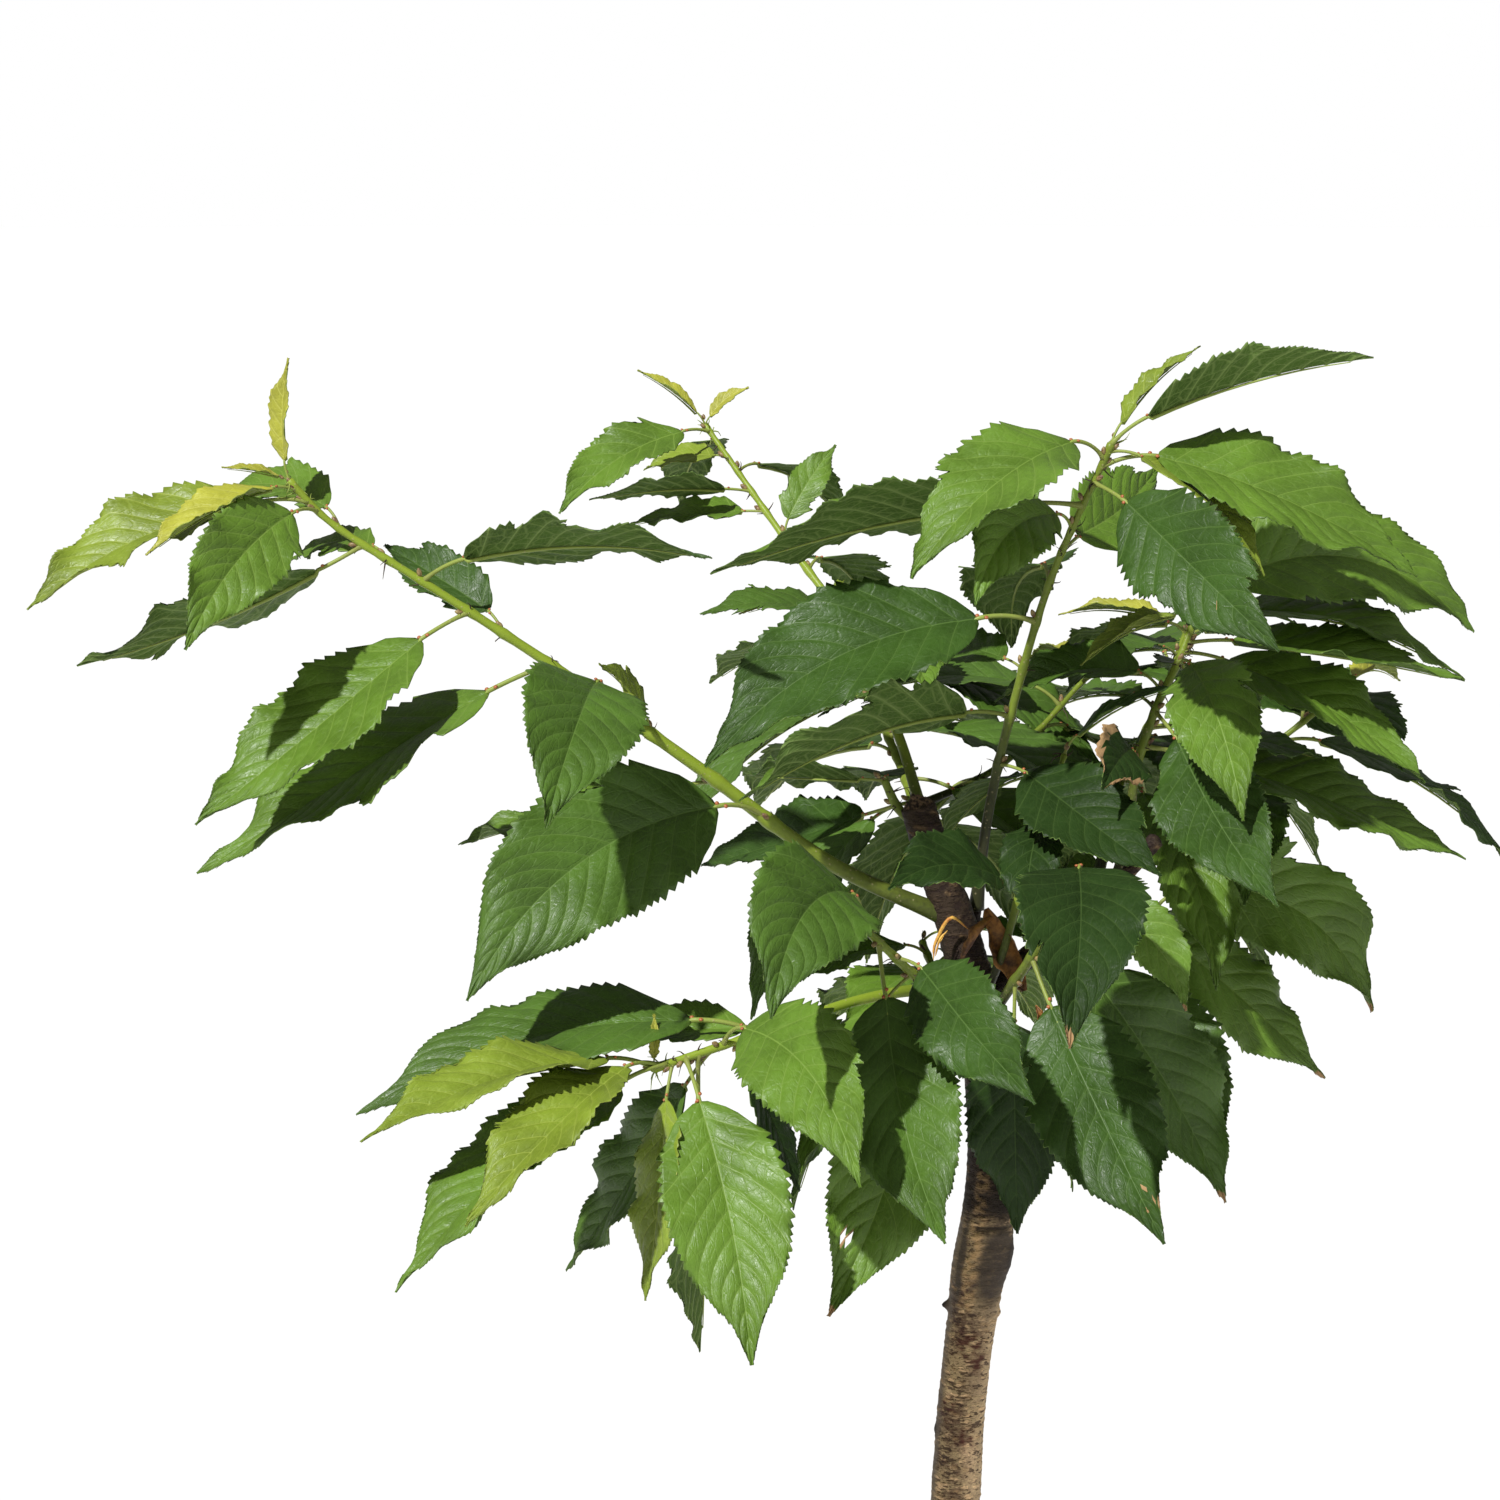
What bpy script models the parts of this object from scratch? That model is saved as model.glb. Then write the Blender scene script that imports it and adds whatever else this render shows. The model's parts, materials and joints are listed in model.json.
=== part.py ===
"""A young cherry tree in a plain clay pot, in metres, with +Z up.

The origin is the centre of the pot's flat underside. X runs to the right and Y runs away
from the side that the tree is usually seen from. A compass angle is 0 along +X and 90
along +Y. Trunk, boughs and every mass of foliage are separate solids.
"""

import math
import random

import bmesh
import bpy
import numpy as np
from mathutils.bvhtree import BVHTree

GAP = 0.0003  # air between neighbouring pieces
SIDE_GAP = 1.1 * GAP  # the same beside a faceted round, which falls a little short of its circle
MERGE = 0.00001  # points this near are one

POT_HEIGHT = 0.300
POT_BASE_RADIUS = 0.115
POT_TOP_RADIUS = 0.162
POT_WALL = 0.009
POT_FLOOR = 0.014
RIM_HEIGHT = 0.040
RIM_STEP = 0.008  # how far the rim stands out from the wall
RIM_ROUND = 0.0045
RIM_DRAFT = 0.003  # how far the rim draws in towards its foot
FOOT_ROUND = 0.003
POT_STEPS = 40
SOIL_LEVEL = 0.275
DRAIN_HOLES = 4
DRAIN_RADIUS = 0.006
DRAIN_SIDES = 16
DRAIN_CIRCLE = 0.060  # radius of the ring that the drain holes lie on

# Each limb: the points of its middle line and the radius at each point.
LIMBS = {
    "trunk": {
        "grows_from": (),
        "sides": 12,
        "points": [
            (0.000, 0.000, SOIL_LEVEL + GAP), (0.000, 0.000, 0.287), (0.000, 0.000, 0.305),
            (-0.001, 0.001, 0.350), (-0.002, 0.003, 0.430), (0.001, 0.003, 0.530),
            (0.008, 0.000, 0.635), (0.011, 0.000, 0.682), (0.015, 0.000, 0.718),
            (0.019, 0.000, 0.752), (0.023, 0.000, 0.778), (0.025, 0.000, 0.812),
            (0.022, 0.000, 0.857), (0.017, 0.000, 0.893),
        ],
        "radii": [
            0.0205, 0.0185, 0.0168, 0.0150, 0.0140, 0.0132, 0.0126, 0.0124, 0.0124, 0.0138,
            0.0130, 0.0122, 0.0122, 0.0125,
        ],
    },
    "bough_left": {
        "grows_from": ("trunk",),
        "sides": 10,
        "points": [(0.019, 0.0, 0.882), (0.007, 0.0, 0.924), (-0.004, 0.0, 0.956), (-0.014, 0.0, 0.988)],
        "radii": [0.0112, 0.0105, 0.0096, 0.0088],
    },
    "bough_centre": {
        "grows_from": ("trunk", "bough_left"),
        "sides": 6,
        "points": [(0.018, 0.000, 0.890), (0.016, 0.017, 0.912), (0.017, 0.014, 0.936)],
        "radii": [0.0036, 0.0034, 0.0030],
    },
    "bough_right": {
        "grows_from": ("trunk", "bough_left"),
        "sides": 8,
        "points": [
            (0.019, 0.000, 0.888), (0.038, 0.000, 0.906), (0.066, 0.003, 0.928),
            (0.091, 0.005, 0.952), (0.107, 0.006, 0.969),
        ],
        "radii": [0.0062, 0.0058, 0.0052, 0.0048, 0.0046],
    },
}

# Each mass of foliage grows on one stem. "path" runs along the stem and "thickness" is its
# radius at the root and at the tip. The leaves start at the share "bare" of the stem and
# crowd towards its tip. A leaf row is its compass angle, the pitch of its stalk, the pitch
# of its tip, the length of its blade, and how far the blade is rolled about its own length,
# in degrees. A "spiral" makes the rows by rule, and leaves the roll to the light.
SHOOTS = {
    "foliage_left": {
        "grows_from": ("bough_left",),
        "path": [
            (0.005, 0.000, 0.929), (-0.058, -0.012, 0.960), (-0.122, -0.025, 1.009),
            (-0.186, -0.035, 1.056), (-0.249, -0.045, 1.099), (-0.299, -0.050, 1.132),
            (-0.320, -0.055, 1.154),
        ],
        "thickness": (0.0042, 0.0014), "bare": 0.27, "crowding": 2.0, "young": 0.30,
        "leaves": [
            (-145, 42, -53, 0.171, -54), (154, -8, -20, 0.128, -19), (-127, 83, 24, 0.048, -57),
            (-100, 59, -53, 0.134, -23), (-168, -18, -35, 0.167, -16), (142, 59, 10, 0.075, -33),
            (-152, -20, -40, 0.144, -20), (-20, 41, -11, 0.129, -27), (140, 54, -32, 0.060, -26),
            (178, -33, -18, 0.128, 23), (138, 69, -19, 0.073, -28), (-121, 21, -53, 0.104, -50),
            (-165, 13, -36, 0.123, -23), (-144, 14, -51, 0.076, -4), (-159, 38, 0, 0.029, -16),
            (0, 113, 78, 0.050, 43),
        ],
    },
    "foliage_back_left": {
        "grows_from": ("bough_left",),
        "path": [
            (-0.009, 0.000, 0.972), (-0.014, 0.020, 0.992), (-0.024, 0.040, 1.022),
            (-0.046, 0.075, 1.067), (-0.077, 0.105, 1.108), (-0.121, 0.140, 1.168),
        ],
        "thickness": (0.0030, 0.0012), "bare": 0.46, "crowding": 1.9, "young": 0.30,
        "leaves": [
            (-156, 65, -17, 0.077, -18), (93, 16, -4, 0.037, -30), (70, 35, -45, 0.100, None),
            (42, 91, 33, 0.051, 39), (163, 4, -12, 0.065, -19), (-170, 12, -9, 0.072, 26),
            (50, 30, -45, 0.085, None), (157, 22, -24, 0.042, -27), (105, 25, -50, 0.080, None),
            (-146, 19, -43, 0.087, -27), (0, 77, 23, 0.026, 42), (180, 69, 24, 0.039, -14),
        ],
    },
    "foliage_centre": {
        "grows_from": ("bough_centre",),
        "path": [
            (0.0168, 0.0144, 0.932), (0.022, 0.009, 0.979), (0.032, 0.000, 1.030),
            (0.051, -0.015, 1.102), (0.079, -0.030, 1.170),
        ],
        "thickness": (0.0028, 0.0014), "bare": 0.30, "crowding": 2.2, "young": 0.20,
        "leaves": [
            (-60, -1, -34, 0.106, 31), (-151, 20, -27, 0.134, 36), (133, 31, -16, 0.070, -22),
            (-169, 17, -45, 0.159, -42), (95, 40, -50, 0.120, None), (60, 20, 16, 0.098, 51),
            (-124, 57, -54, 0.089, -50), (-179, 9, -20, 0.156, 26), (-55, -11, -35, 0.129, 56),
            (-2, 30, -43, 0.143, 36), (-141, 52, -58, 0.124, -19), (-11, 12, -62, 0.085, 17),
            (-10, 49, 4, 0.113, -19), (22, 75, 29, 0.057, 1),
        ],
    },
    "foliage_middle": {
        "grows_from": ("trunk", "bough_left", "bough_right"),
        "path": [
            (0.018, 0.000, 0.884), (0.028, -0.019, 0.914), (0.036, -0.020, 0.943),
            (0.048, -0.012, 0.979), (0.060, 0.004, 1.012),
        ],
        "thickness": (0.0024, 0.0013), "bare": 0.45, "crowding": 1.2, "young": 0.0,
        "leaves": [
            (-136, 72, -20, 0.084, -39), (60, 30, -45, 0.090, None), (-100, 20, -60, 0.070, None),
            (150, 40, -40, 0.090, None), (-10, 75, 10, 0.060, None),
        ],
    },
    "foliage_right": {
        "grows_from": ("bough_right",),
        "path": [
            (0.088, 0.005, 0.949), (0.093, 0.005, 0.975), (0.096, 0.004, 1.005),
            (0.106, 0.006, 1.036), (0.116, 0.010, 1.056), (0.126, 0.015, 1.080),
        ],
        "thickness": (0.0028, 0.0014), "bare": 0.42, "crowding": 1.6, "young": 0.10,
        "leaves": [
            (-115, 59, -36, 0.073, -49), (5, -5, -27, 0.148, 22), (24, 4, -25, 0.083, 22),
            (-65, -22, -40, 0.120, 40), (-155, 52, -50, 0.090, -25), (70, 30, -45, 0.120, None),
            (-75, 34, -68, 0.104, 27), (-13, 1, -41, 0.116, 24), (-9, 12, -16, 0.117, 11),
            (120, 30, -40, 0.100, None), (5, 36, -35, 0.124, 12), (22, 74, -42, 0.152, 51),
            (-163, 29, -44, 0.057, -9),
        ],
    },
    "foliage_stub": {
        "grows_from": ("bough_left",),
        "path": [(-0.010, 0.000, 0.974), (-0.022, 0.008, 0.983), (-0.030, 0.010, 0.998)],
        "thickness": (0.0022, 0.0016), "bare": 0.60, "crowding": 1.0, "young": 0.0,
        "leaves": [
            (149, -18, -20, 0.102, -29), (80, 35, -45, 0.085, None), (139, -1, -5, 0.078, 31),
        ],
    },
    "foliage_low_left": {
        "grows_from": ("trunk", "bough_left"),
        "path": [
            (0.0175, 0.000, 0.887), (-0.008, -0.020, 0.897), (-0.046, -0.050, 0.897),
            (-0.093, -0.075, 0.886), (-0.144, -0.090, 0.872),
        ],
        "thickness": (0.0035, 0.0014), "bare": 0.66, "crowding": 1.8, "young": 0.35,
        "leaves": [
            (167, 0, -12, 0.080, -22), (-176, 26, -29, 0.171, -18), (34, -74, -63, 0.073, 61),
            (-61, 59, -55, 0.129, 42), (150, -52, -57, 0.123, -54), (90, -79, -65, 0.148, -80),
            (-70, -31, -65, 0.134, 18), (-109, -54, -78, 0.097, 40), (-139, 0, -41, 0.156, 0),
            (-130, 27, -45, 0.128, -4), (-147, 19, -36, 0.138, -8), (90, 90, 70, 0.022, None),
        ],
    },
    "foliage_front_right": {
        "grows_from": ("trunk",),
        "path": [
            (0.0195, 0.000, 0.874), (0.034, -0.030, 0.903), (0.047, -0.055, 0.930),
            (0.062, -0.080, 0.962),
        ],
        "thickness": (0.0030, 0.0018), "bare": 0.36, "crowding": 1.0, "young": 0.0,
        "leaves": [
            (-101, -73, -109, 0.113, 6), (-61, -55, -40, 0.140, 37), (-9, -37, -72, 0.136, 57),
            (-20, 38, -74, 0.072, 47), (-96, 55, -62, 0.129, -2),
        ],
    },
    "foliage_front_left": {
        "grows_from": ("trunk",),
        "path": [
            (0.0215, 0.000, 0.862), (0.003, -0.032, 0.888), (-0.023, -0.062, 0.918),
            (-0.043, -0.088, 0.941),
        ],
        "thickness": (0.0030, 0.0018), "bare": 0.50, "crowding": 1.0, "young": 0.0,
        "leaves": [
            (-134, -69, -62, 0.140, -41), (-178, -15, -60, 0.095, None), (-60, 9, -37, 0.112, 46),
            (-75, -73, -36, 0.139, 19), (-110, 85, -53, 0.130, -39),
        ],
    },
    "foliage_low_right": {
        "grows_from": ("bough_right",),
        "path": [(0.058, 0.002, 0.922), (0.084, 0.024, 0.921), (0.108, 0.042, 0.923)],
        "thickness": (0.0026, 0.0016), "bare": 0.50, "crowding": 1.0, "young": 0.0,
        "leaves": [
            (-53, -47, -36, 0.119, 20), (60, 30, -50, 0.110, None), (11, -22, -49, 0.113, 52),
            (17, 64, -67, 0.132, 67),
        ],
    },
    "foliage_back": {
        "grows_from": ("bough_left",),
        "path": [
            (0.001, 0.000, 0.941), (-0.006, 0.050, 0.955), (-0.016, 0.110, 0.985),
            (-0.030, 0.165, 1.015), (-0.045, 0.215, 1.055),
        ],
        "thickness": (0.0034, 0.0014), "bare": 0.30, "crowding": 1.4, "young": 0.2,
        "spiral": {"count": 12, "start": 60, "length": 0.125, "seed": 11, "side_twigs": 1},
    },
    "foliage_back_right": {
        "grows_from": ("bough_right",),
        "path": [
            (0.074, 0.004, 0.936), (0.084, 0.050, 0.955), (0.098, 0.110, 0.985),
            (0.118, 0.160, 1.010), (0.140, 0.205, 1.050),
        ],
        "thickness": (0.0034, 0.0014), "bare": 0.30, "crowding": 1.4, "young": 0.2,
        "spiral": {"count": 12, "start": 20, "length": 0.120, "seed": 14, "side_twigs": 1},
    },
    "foliage_low_back": {
        "grows_from": ("trunk",),
        "path": [
            (0.0205, 0.000, 0.868), (0.012, 0.035, 0.874), (0.002, 0.080, 0.880),
            (-0.006, 0.120, 0.895),
        ],
        "thickness": (0.0030, 0.0018), "bare": 0.35, "crowding": 1.0, "young": 0.0,
        "spiral": {"count": 7, "start": 200, "length": 0.120, "seed": 3, "side_twigs": 0},
    },
}

STEM_PLACES = 60  # places worked out along a stem
TWIG_PLACES = 30

# Leaves laid by rule turn round the stem, rise more and shorten towards its tip. Angles are
# in degrees, and a pair is the least and the most that the seed deals out.
SPIRAL = {
    "turn": 144, "turn_spread": (-14, 14), "rise_at_foot": 5, "rise_gain": 45,
    "rise_spread": (-12, 12), "droop": (60, 95), "length_spread": (0.85, 1.1),
    "shorter_from": 0.6, "shorter_by": 0.55,
}
# A side twig leaves its stem at a share of its length and at an angle to its heading.
SIDE_TWIG = {
    "first": 0.38, "next": 0.2, "angle": 62, "reach": 0.52, "climb": 0.28, "lift": 0.2,
    "thickness": 0.6, "bare": 0.3, "start_turn": 50,
}
BLADE_THICKNESS = 0.0017
STALK_SHARE = 0.20  # stalk length as a share of the blade's
STALK_BEND = 0.50  # share of a leaf's whole bend that its stalk makes
STALK_HALF_WIDTH = 0.0013
TIP_HALF_WIDTH = 0.0007
BROAD, NARROW = 0.225, 0.15  # half width of an old and of a young blade, as shares of its length
TWIG_SIDES = 4
STALK_STEPS = 2
BLADE_STEPS = 4
TRIAL_STALK_STEPS = 2  # a finer grid, which a leaf's place is tried with
TRIAL_BLADE_STEPS = 6
LIGHT = (-0.30, -0.70, 0.65)
LIGHT_TURN = 0.15  # share of the turn towards the light that a blade laid by rule makes
LEAN = (-0.12, 0.12)  # radians that it leans besides, dealt out by seed
FOLD = (0.12, 0.30)  # radians that each half of a blade is folded up
YOUNG_FOLD = 0.35
WIDTH_SPREAD = (0.94, 1.08)
CLEARANCE = 0.0042  # from a leaf's middle surface to another mass or a limb

# Turns of the compass angle and of the pitch that a leaf tries before it is left out.
NUDGES = (
    (0, 0), (8, 4), (-8, 4), (0, 12), (0, -12), (16, 8), (-16, 8), (24, -12), (-24, -12),
    (34, 14), (-34, 14), (46, 0), (-46, 0), (60, 10), (-60, 10),
)

COLOURS = {
    "pot": (0.48, 0.20, 0.11), "soil": (0.055, 0.035, 0.022), "limb": (0.15, 0.11, 0.085),
    "foliage": (0.075, 0.21, 0.035),
}


def clear_scene():
    for thing in list(bpy.data.objects):
        bpy.data.objects.remove(thing, do_unlink=True)


def new_collection(name, hidden=False):
    made = bpy.data.collections.new(name)
    bpy.context.scene.collection.children.link(made)
    made.hide_render = hidden
    return made


def new_material(name, colour, roughness):
    made = bpy.data.materials.new(name)
    made.use_nodes = True
    shader = made.node_tree.nodes["Principled BSDF"]
    shader.inputs["Base Color"].default_value = (*colour, 1)
    shader.inputs["Roughness"].default_value = roughness
    return made


def add_object(name, mesh, collection, material=None):
    made = bpy.data.objects.new(name, mesh)
    collection.objects.link(made)
    if material:
        mesh.materials.clear()
        mesh.materials.append(material)
    return made


def evaluated_mesh(thing):
    """A new mesh of the object as its modifiers leave it."""
    graph = bpy.context.evaluated_depsgraph_get()
    graph.update()
    return bpy.data.meshes.new_from_object(thing.evaluated_get(graph))


def profile_mesh(name, profile):
    """The half section of a turned piece, at +X and running down its outer side."""
    mesh = bpy.data.meshes.new(name)
    shape = bmesh.new()
    corners = [shape.verts.new((radius, 0, height)) for radius, height in profile]
    for first, second in zip(corners, corners[1:]):
        shape.edges.new((first, second))
    shape.to_mesh(mesh)
    shape.free()
    return mesh


def add_screw(thing):
    screw = thing.modifiers.new("turn", "SCREW")
    screw.angle = 2 * math.pi
    screw.steps = screw.render_steps = POT_STEPS
    screw.use_merge_vertices = True
    screw.merge_threshold = MERGE


def wall_radius(height):
    """Radius of the pot's outer wall at a height."""
    return POT_BASE_RADIUS + (POT_TOP_RADIUS - POT_BASE_RADIUS) * height / POT_HEIGHT


def rounded(centre, radius, start, end, count):
    """Points of an arc, from one angle to another in degrees."""
    angles = [math.radians(start + (end - start) * k / count) for k in range(count + 1)]
    return [(centre[0] + radius * math.cos(a), centre[1] + radius * math.sin(a)) for a in angles]


def make_pot(parts, cutters):
    inner_floor = wall_radius(POT_FLOOR) - POT_WALL
    inner_top = wall_radius(POT_HEIGHT) - POT_WALL
    rim_outer = wall_radius(POT_HEIGHT) + RIM_STEP
    rim_foot = POT_HEIGHT - RIM_HEIGHT
    top_middle = POT_HEIGHT - RIM_ROUND
    profile = [(0, POT_FLOOR), (inner_floor, POT_FLOOR)]
    profile += rounded((inner_top + RIM_ROUND, top_middle), RIM_ROUND, 180, 90, 3)
    profile += rounded((rim_outer - RIM_ROUND, top_middle), RIM_ROUND, 90, 0, 3)
    profile += [(rim_outer - RIM_DRAFT / 3, rim_foot + RIM_DRAFT), (rim_outer - RIM_DRAFT, rim_foot)]
    profile += [(wall_radius(rim_foot), rim_foot - RIM_DRAFT)]
    profile += rounded((POT_BASE_RADIUS - FOOT_ROUND, FOOT_ROUND), FOOT_ROUND, 0, -90, 2)
    profile += [(0, 0)]
    pot = add_object("pot", profile_mesh("pot", profile), parts,
                     new_material("clay", COLOURS["pot"], 0.85))
    add_screw(pot)
    for number in range(DRAIN_HOLES):
        angle = 2 * math.pi * (number + 0.5) / DRAIN_HOLES
        shape = bmesh.new()
        bmesh.ops.create_cone(shape, cap_ends=True, segments=DRAIN_SIDES, radius1=DRAIN_RADIUS,
                              radius2=DRAIN_RADIUS, depth=4 * POT_FLOOR)
        mesh = bpy.data.meshes.new("drain_cutter")
        shape.to_mesh(mesh)
        shape.free()
        cutter = add_object(f"drain_cutter_{number + 1}", mesh, cutters)
        cutter.location = (DRAIN_CIRCLE * math.cos(angle), DRAIN_CIRCLE * math.sin(angle), 0)
        cutter.display_type = "WIRE"
        cutter.hide_render = True
        drain = pot.modifiers.new(f"drain_{number + 1}", "BOOLEAN")
        drain.operation = "DIFFERENCE"
        drain.object = cutter


def make_soil(parts):
    """The compost that fills the pot, clear of its wall and floor."""
    foot = POT_FLOOR + GAP
    profile = [
        (0, SOIL_LEVEL),
        (wall_radius(SOIL_LEVEL) - POT_WALL - SIDE_GAP, SOIL_LEVEL),
        (wall_radius(foot) - POT_WALL - SIDE_GAP, foot),
        (0, foot),
    ]
    soil = add_object("soil", profile_mesh("soil", profile), parts,
                      new_material("soil", COLOURS["soil"], 0.95))
    add_screw(soil)


def tube_mesh(name, points, radii, sides):
    """A closed tube along a line of points, with a radius at each, made from a curve."""
    curve = bpy.data.curves.new(name, "CURVE")
    curve.dimensions = "3D"
    curve.bevel_depth = 1
    curve.bevel_resolution = (sides - 4) // 2
    curve.use_fill_caps = True
    spline = curve.splines.new("POLY")
    spline.points.add(len(points) - 1)
    for place, point, radius in zip(spline.points, points, radii):
        place.co = (*point, 1)
        place.radius = radius
    guide = bpy.data.objects.new(name, curve)
    bpy.context.scene.collection.objects.link(guide)
    mesh = evaluated_mesh(guide)
    bpy.data.objects.remove(guide, do_unlink=True)
    shape = bmesh.new()
    shape.from_mesh(mesh)
    bmesh.ops.remove_doubles(shape, verts=shape.verts, dist=MERGE)
    bmesh.ops.recalc_face_normals(shape, faces=shape.faces)
    shape.to_mesh(mesh)
    shape.free()
    return mesh


def grown_mesh(name, points, radii, sides):
    """The same tube, larger by the gap on every side, for cutting what grows from it."""
    first = np.array(points[0]) - np.array(points[1])
    last = np.array(points[-1]) - np.array(points[-2])
    start = np.array(points[0]) + GAP * first / np.linalg.norm(first)
    end = np.array(points[-1]) + GAP * last / np.linalg.norm(last)
    wider = [radius + SIDE_GAP for radius in radii]
    return tube_mesh(name, [start, *points[1:-1], end], wider, sides)


def largest_body(mesh):
    """Keeps the largest connected piece, which drops scraps and fills sealed hollows."""
    shape = bmesh.new()
    shape.from_mesh(mesh)
    left = set(shape.verts)
    bodies = []
    while left:
        body, fringe = set(), [left.pop()]
        while fringe:
            corner = fringe.pop()
            body.add(corner)
            for edge in corner.link_edges:
                other = edge.other_vert(corner)
                if other in left:
                    left.remove(other)
                    fringe.append(other)
        bodies.append(body)
    bodies.sort(key=len, reverse=True)
    loose = [corner for body in bodies[1:] for corner in body]
    bmesh.ops.delete(shape, geom=loose, context="VERTS")
    shape.to_mesh(mesh)
    shape.free()
    return mesh


def boolean(thing, operation, others, solver="EXACT"):
    """Joins or cuts the object with a collection of others, and applies it."""
    cut = thing.modifiers.new("fuse", "BOOLEAN")
    cut.operation = operation
    cut.operand_type = "COLLECTION"
    cut.collection = others
    cut.solver = solver
    mesh = largest_body(evaluated_mesh(thing))
    thing.modifiers.clear()
    thing.data = mesh
    for other in list(others.objects):
        bpy.data.objects.remove(other, do_unlink=True)


def cut_seats(thing, limbs, scratch):
    """Cuts the root of what grows from these limbs, so that it meets them across the gap."""
    for name in limbs:
        limb = LIMBS[name]
        seat = grown_mesh("seat", limb["points"], limb["radii"], limb["sides"])
        add_object("seat", seat, scratch)
        boolean(thing, "DIFFERENCE", scratch, "MANIFOLD")


def make_limb(name, parts, scratch):
    limb = LIMBS[name]
    mesh = tube_mesh(name, limb["points"], limb["radii"], limb["sides"])
    made = add_object(name, mesh, parts, new_material(name, COLOURS["limb"], 0.8))
    cut_seats(made, limb["grows_from"], scratch)
    return made


def smooth_line(points, count):
    """A smooth curve through the points, as evenly spaced places along it."""
    given = np.array(points, float)
    ends = np.vstack([2 * given[0] - given[1], given, 2 * given[-1] - given[-2]])
    places = []
    for a, b, c, d in zip(ends, ends[1:], ends[2:], ends[3:]):
        for t in np.arange(0, 1, 0.05):
            places.append(0.5 * (2 * b + (c - a) * t + (2 * a - 5 * b + 4 * c - d) * t**2
                                 + (3 * b - a - 3 * c + d) * t**3))
    places = np.array(places + [given[-1]])
    run = np.concatenate([[0], np.cumsum(np.linalg.norm(np.diff(places, axis=0), axis=1))])
    even = np.linspace(0, run[-1], count)
    return np.stack([np.interp(even, run, places[:, axis]) for axis in range(3)], axis=1)


def spiral_rows(rule, dice, count):
    """Leaf rows that turn round the stem by a fixed angle, with lengths and pitches by seed."""
    rows = []
    for number in range(count):
        share = (number + 0.5) / count
        late = max(0, share - SPIRAL["shorter_from"]) / (1 - SPIRAL["shorter_from"])
        compass = rule["start"] + SPIRAL["turn"] * number + dice.uniform(*SPIRAL["turn_spread"])
        length = rule["length"] * (1 - SPIRAL["shorter_by"] * late) * dice.uniform(*SPIRAL["length_spread"])
        rise = SPIRAL["rise_at_foot"] + SPIRAL["rise_gain"] * share + dice.uniform(*SPIRAL["rise_spread"])
        rows.append((compass, rise, rise - dice.uniform(*SPIRAL["droop"]), length, None))
    return rows


def side_line(stem, number):
    """The line of a side twig, which leaves the stem to its right and left in turn."""
    share = SIDE_TWIG["first"] + SIDE_TWIG["next"] * number
    root = stem[int((len(stem) - 1) * share)]
    ahead = stem[-1] - stem[0]
    side = -1 if number % 2 == 0 else 1
    bearing = math.atan2(ahead[1], ahead[0]) + side * math.radians(SIDE_TWIG["angle"])
    reach = SIDE_TWIG["reach"] * float(np.linalg.norm(ahead))
    out = np.array([math.cos(bearing), math.sin(bearing), SIDE_TWIG["climb"]])
    tip = root + reach * out + np.array([0, 0, SIDE_TWIG["lift"] * reach])
    return smooth_line([root, root + reach / 2 * out, tip], TWIG_PLACES)


def twigs_of(shoot):
    """The stem and its side twigs, each with its line, radii, leaf rows and bare share."""
    line = smooth_line(shoot["path"], STEM_PLACES)
    if "leaves" in shoot:
        return [(line, shoot["thickness"], shoot["leaves"], shoot["bare"])]
    rule = shoot["spiral"]
    dice = random.Random(rule["seed"])
    twigs = [(line, shoot["thickness"], spiral_rows(rule, dice, rule["count"]), shoot["bare"])]
    thick, thin = shoot["thickness"]
    for number in range(rule["side_twigs"]):
        turned = dict(rule, start=rule["start"] + SIDE_TWIG["start_turn"])
        rows = spiral_rows(turned, dice, rule["count"] // 2)
        radii = (SIDE_TWIG["thickness"] * thick, thin)
        twigs.append((side_line(line, number), radii, rows, SIDE_TWIG["bare"]))
    return twigs


def leaf_axes(leaf, pitch):
    """Unit vectors along the leaf, to its side and out of its upper face, at a pitch."""
    compass = math.radians(leaf["compass"])
    along = np.array([math.cos(compass) * math.cos(pitch), math.sin(compass) * math.cos(pitch),
                      math.sin(pitch)])
    side = np.array([math.sin(compass), -math.cos(compass), 0])
    return along, side, np.cross(side, along)


def bent_run(start, end, length, share):
    """How far out and up a share of an arc reaches, between two pitches, and its pitch there."""
    bend = end - start
    pitch = start + bend * share
    out = length * (math.sin(pitch) - math.sin(start)) / bend
    up = length * (math.cos(start) - math.cos(pitch)) / bend
    return out, up, pitch


def leaf_middle(leaf, share):
    """A place on the leaf's middle line, with its pitch. The stalk is one arc and the blade another."""
    rise, fall = math.radians(leaf["rise"]), math.radians(leaf["fall"])
    knee = rise + (fall - rise) * STALK_BEND
    stalk = STALK_SHARE / (1 + STALK_SHARE)
    out, up, pitch = bent_run(rise, knee, leaf["length"] * STALK_SHARE, min(1, share / stalk))
    if share > stalk:
        further, higher, pitch = bent_run(knee, fall, leaf["length"], (share - stalk) / (1 - stalk))
        out, up = out + further, up + higher
    compass = math.radians(leaf["compass"])
    return leaf["root"] + np.array([out * math.cos(compass), out * math.sin(compass), up]), pitch


def blade_half_width(share):
    """Half width of the blade from its base, 0, to its tip, 1, as a share of the widest."""
    return math.sin(math.pi * share**0.75) ** 0.8 * (1 - 0.35 * share**6)


def blade_turn(leaf):
    """How far the blade is rolled about its own length, in radians."""
    if leaf["roll"] is not None:
        return math.radians(leaf["roll"])
    _, side, face = leaf_axes(leaf, math.radians(leaf["rise"] + leaf["fall"]) / 2)
    light = np.array(LIGHT)
    return LIGHT_TURN * math.atan2(light @ side, light @ face) + leaf["lean"]


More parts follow.
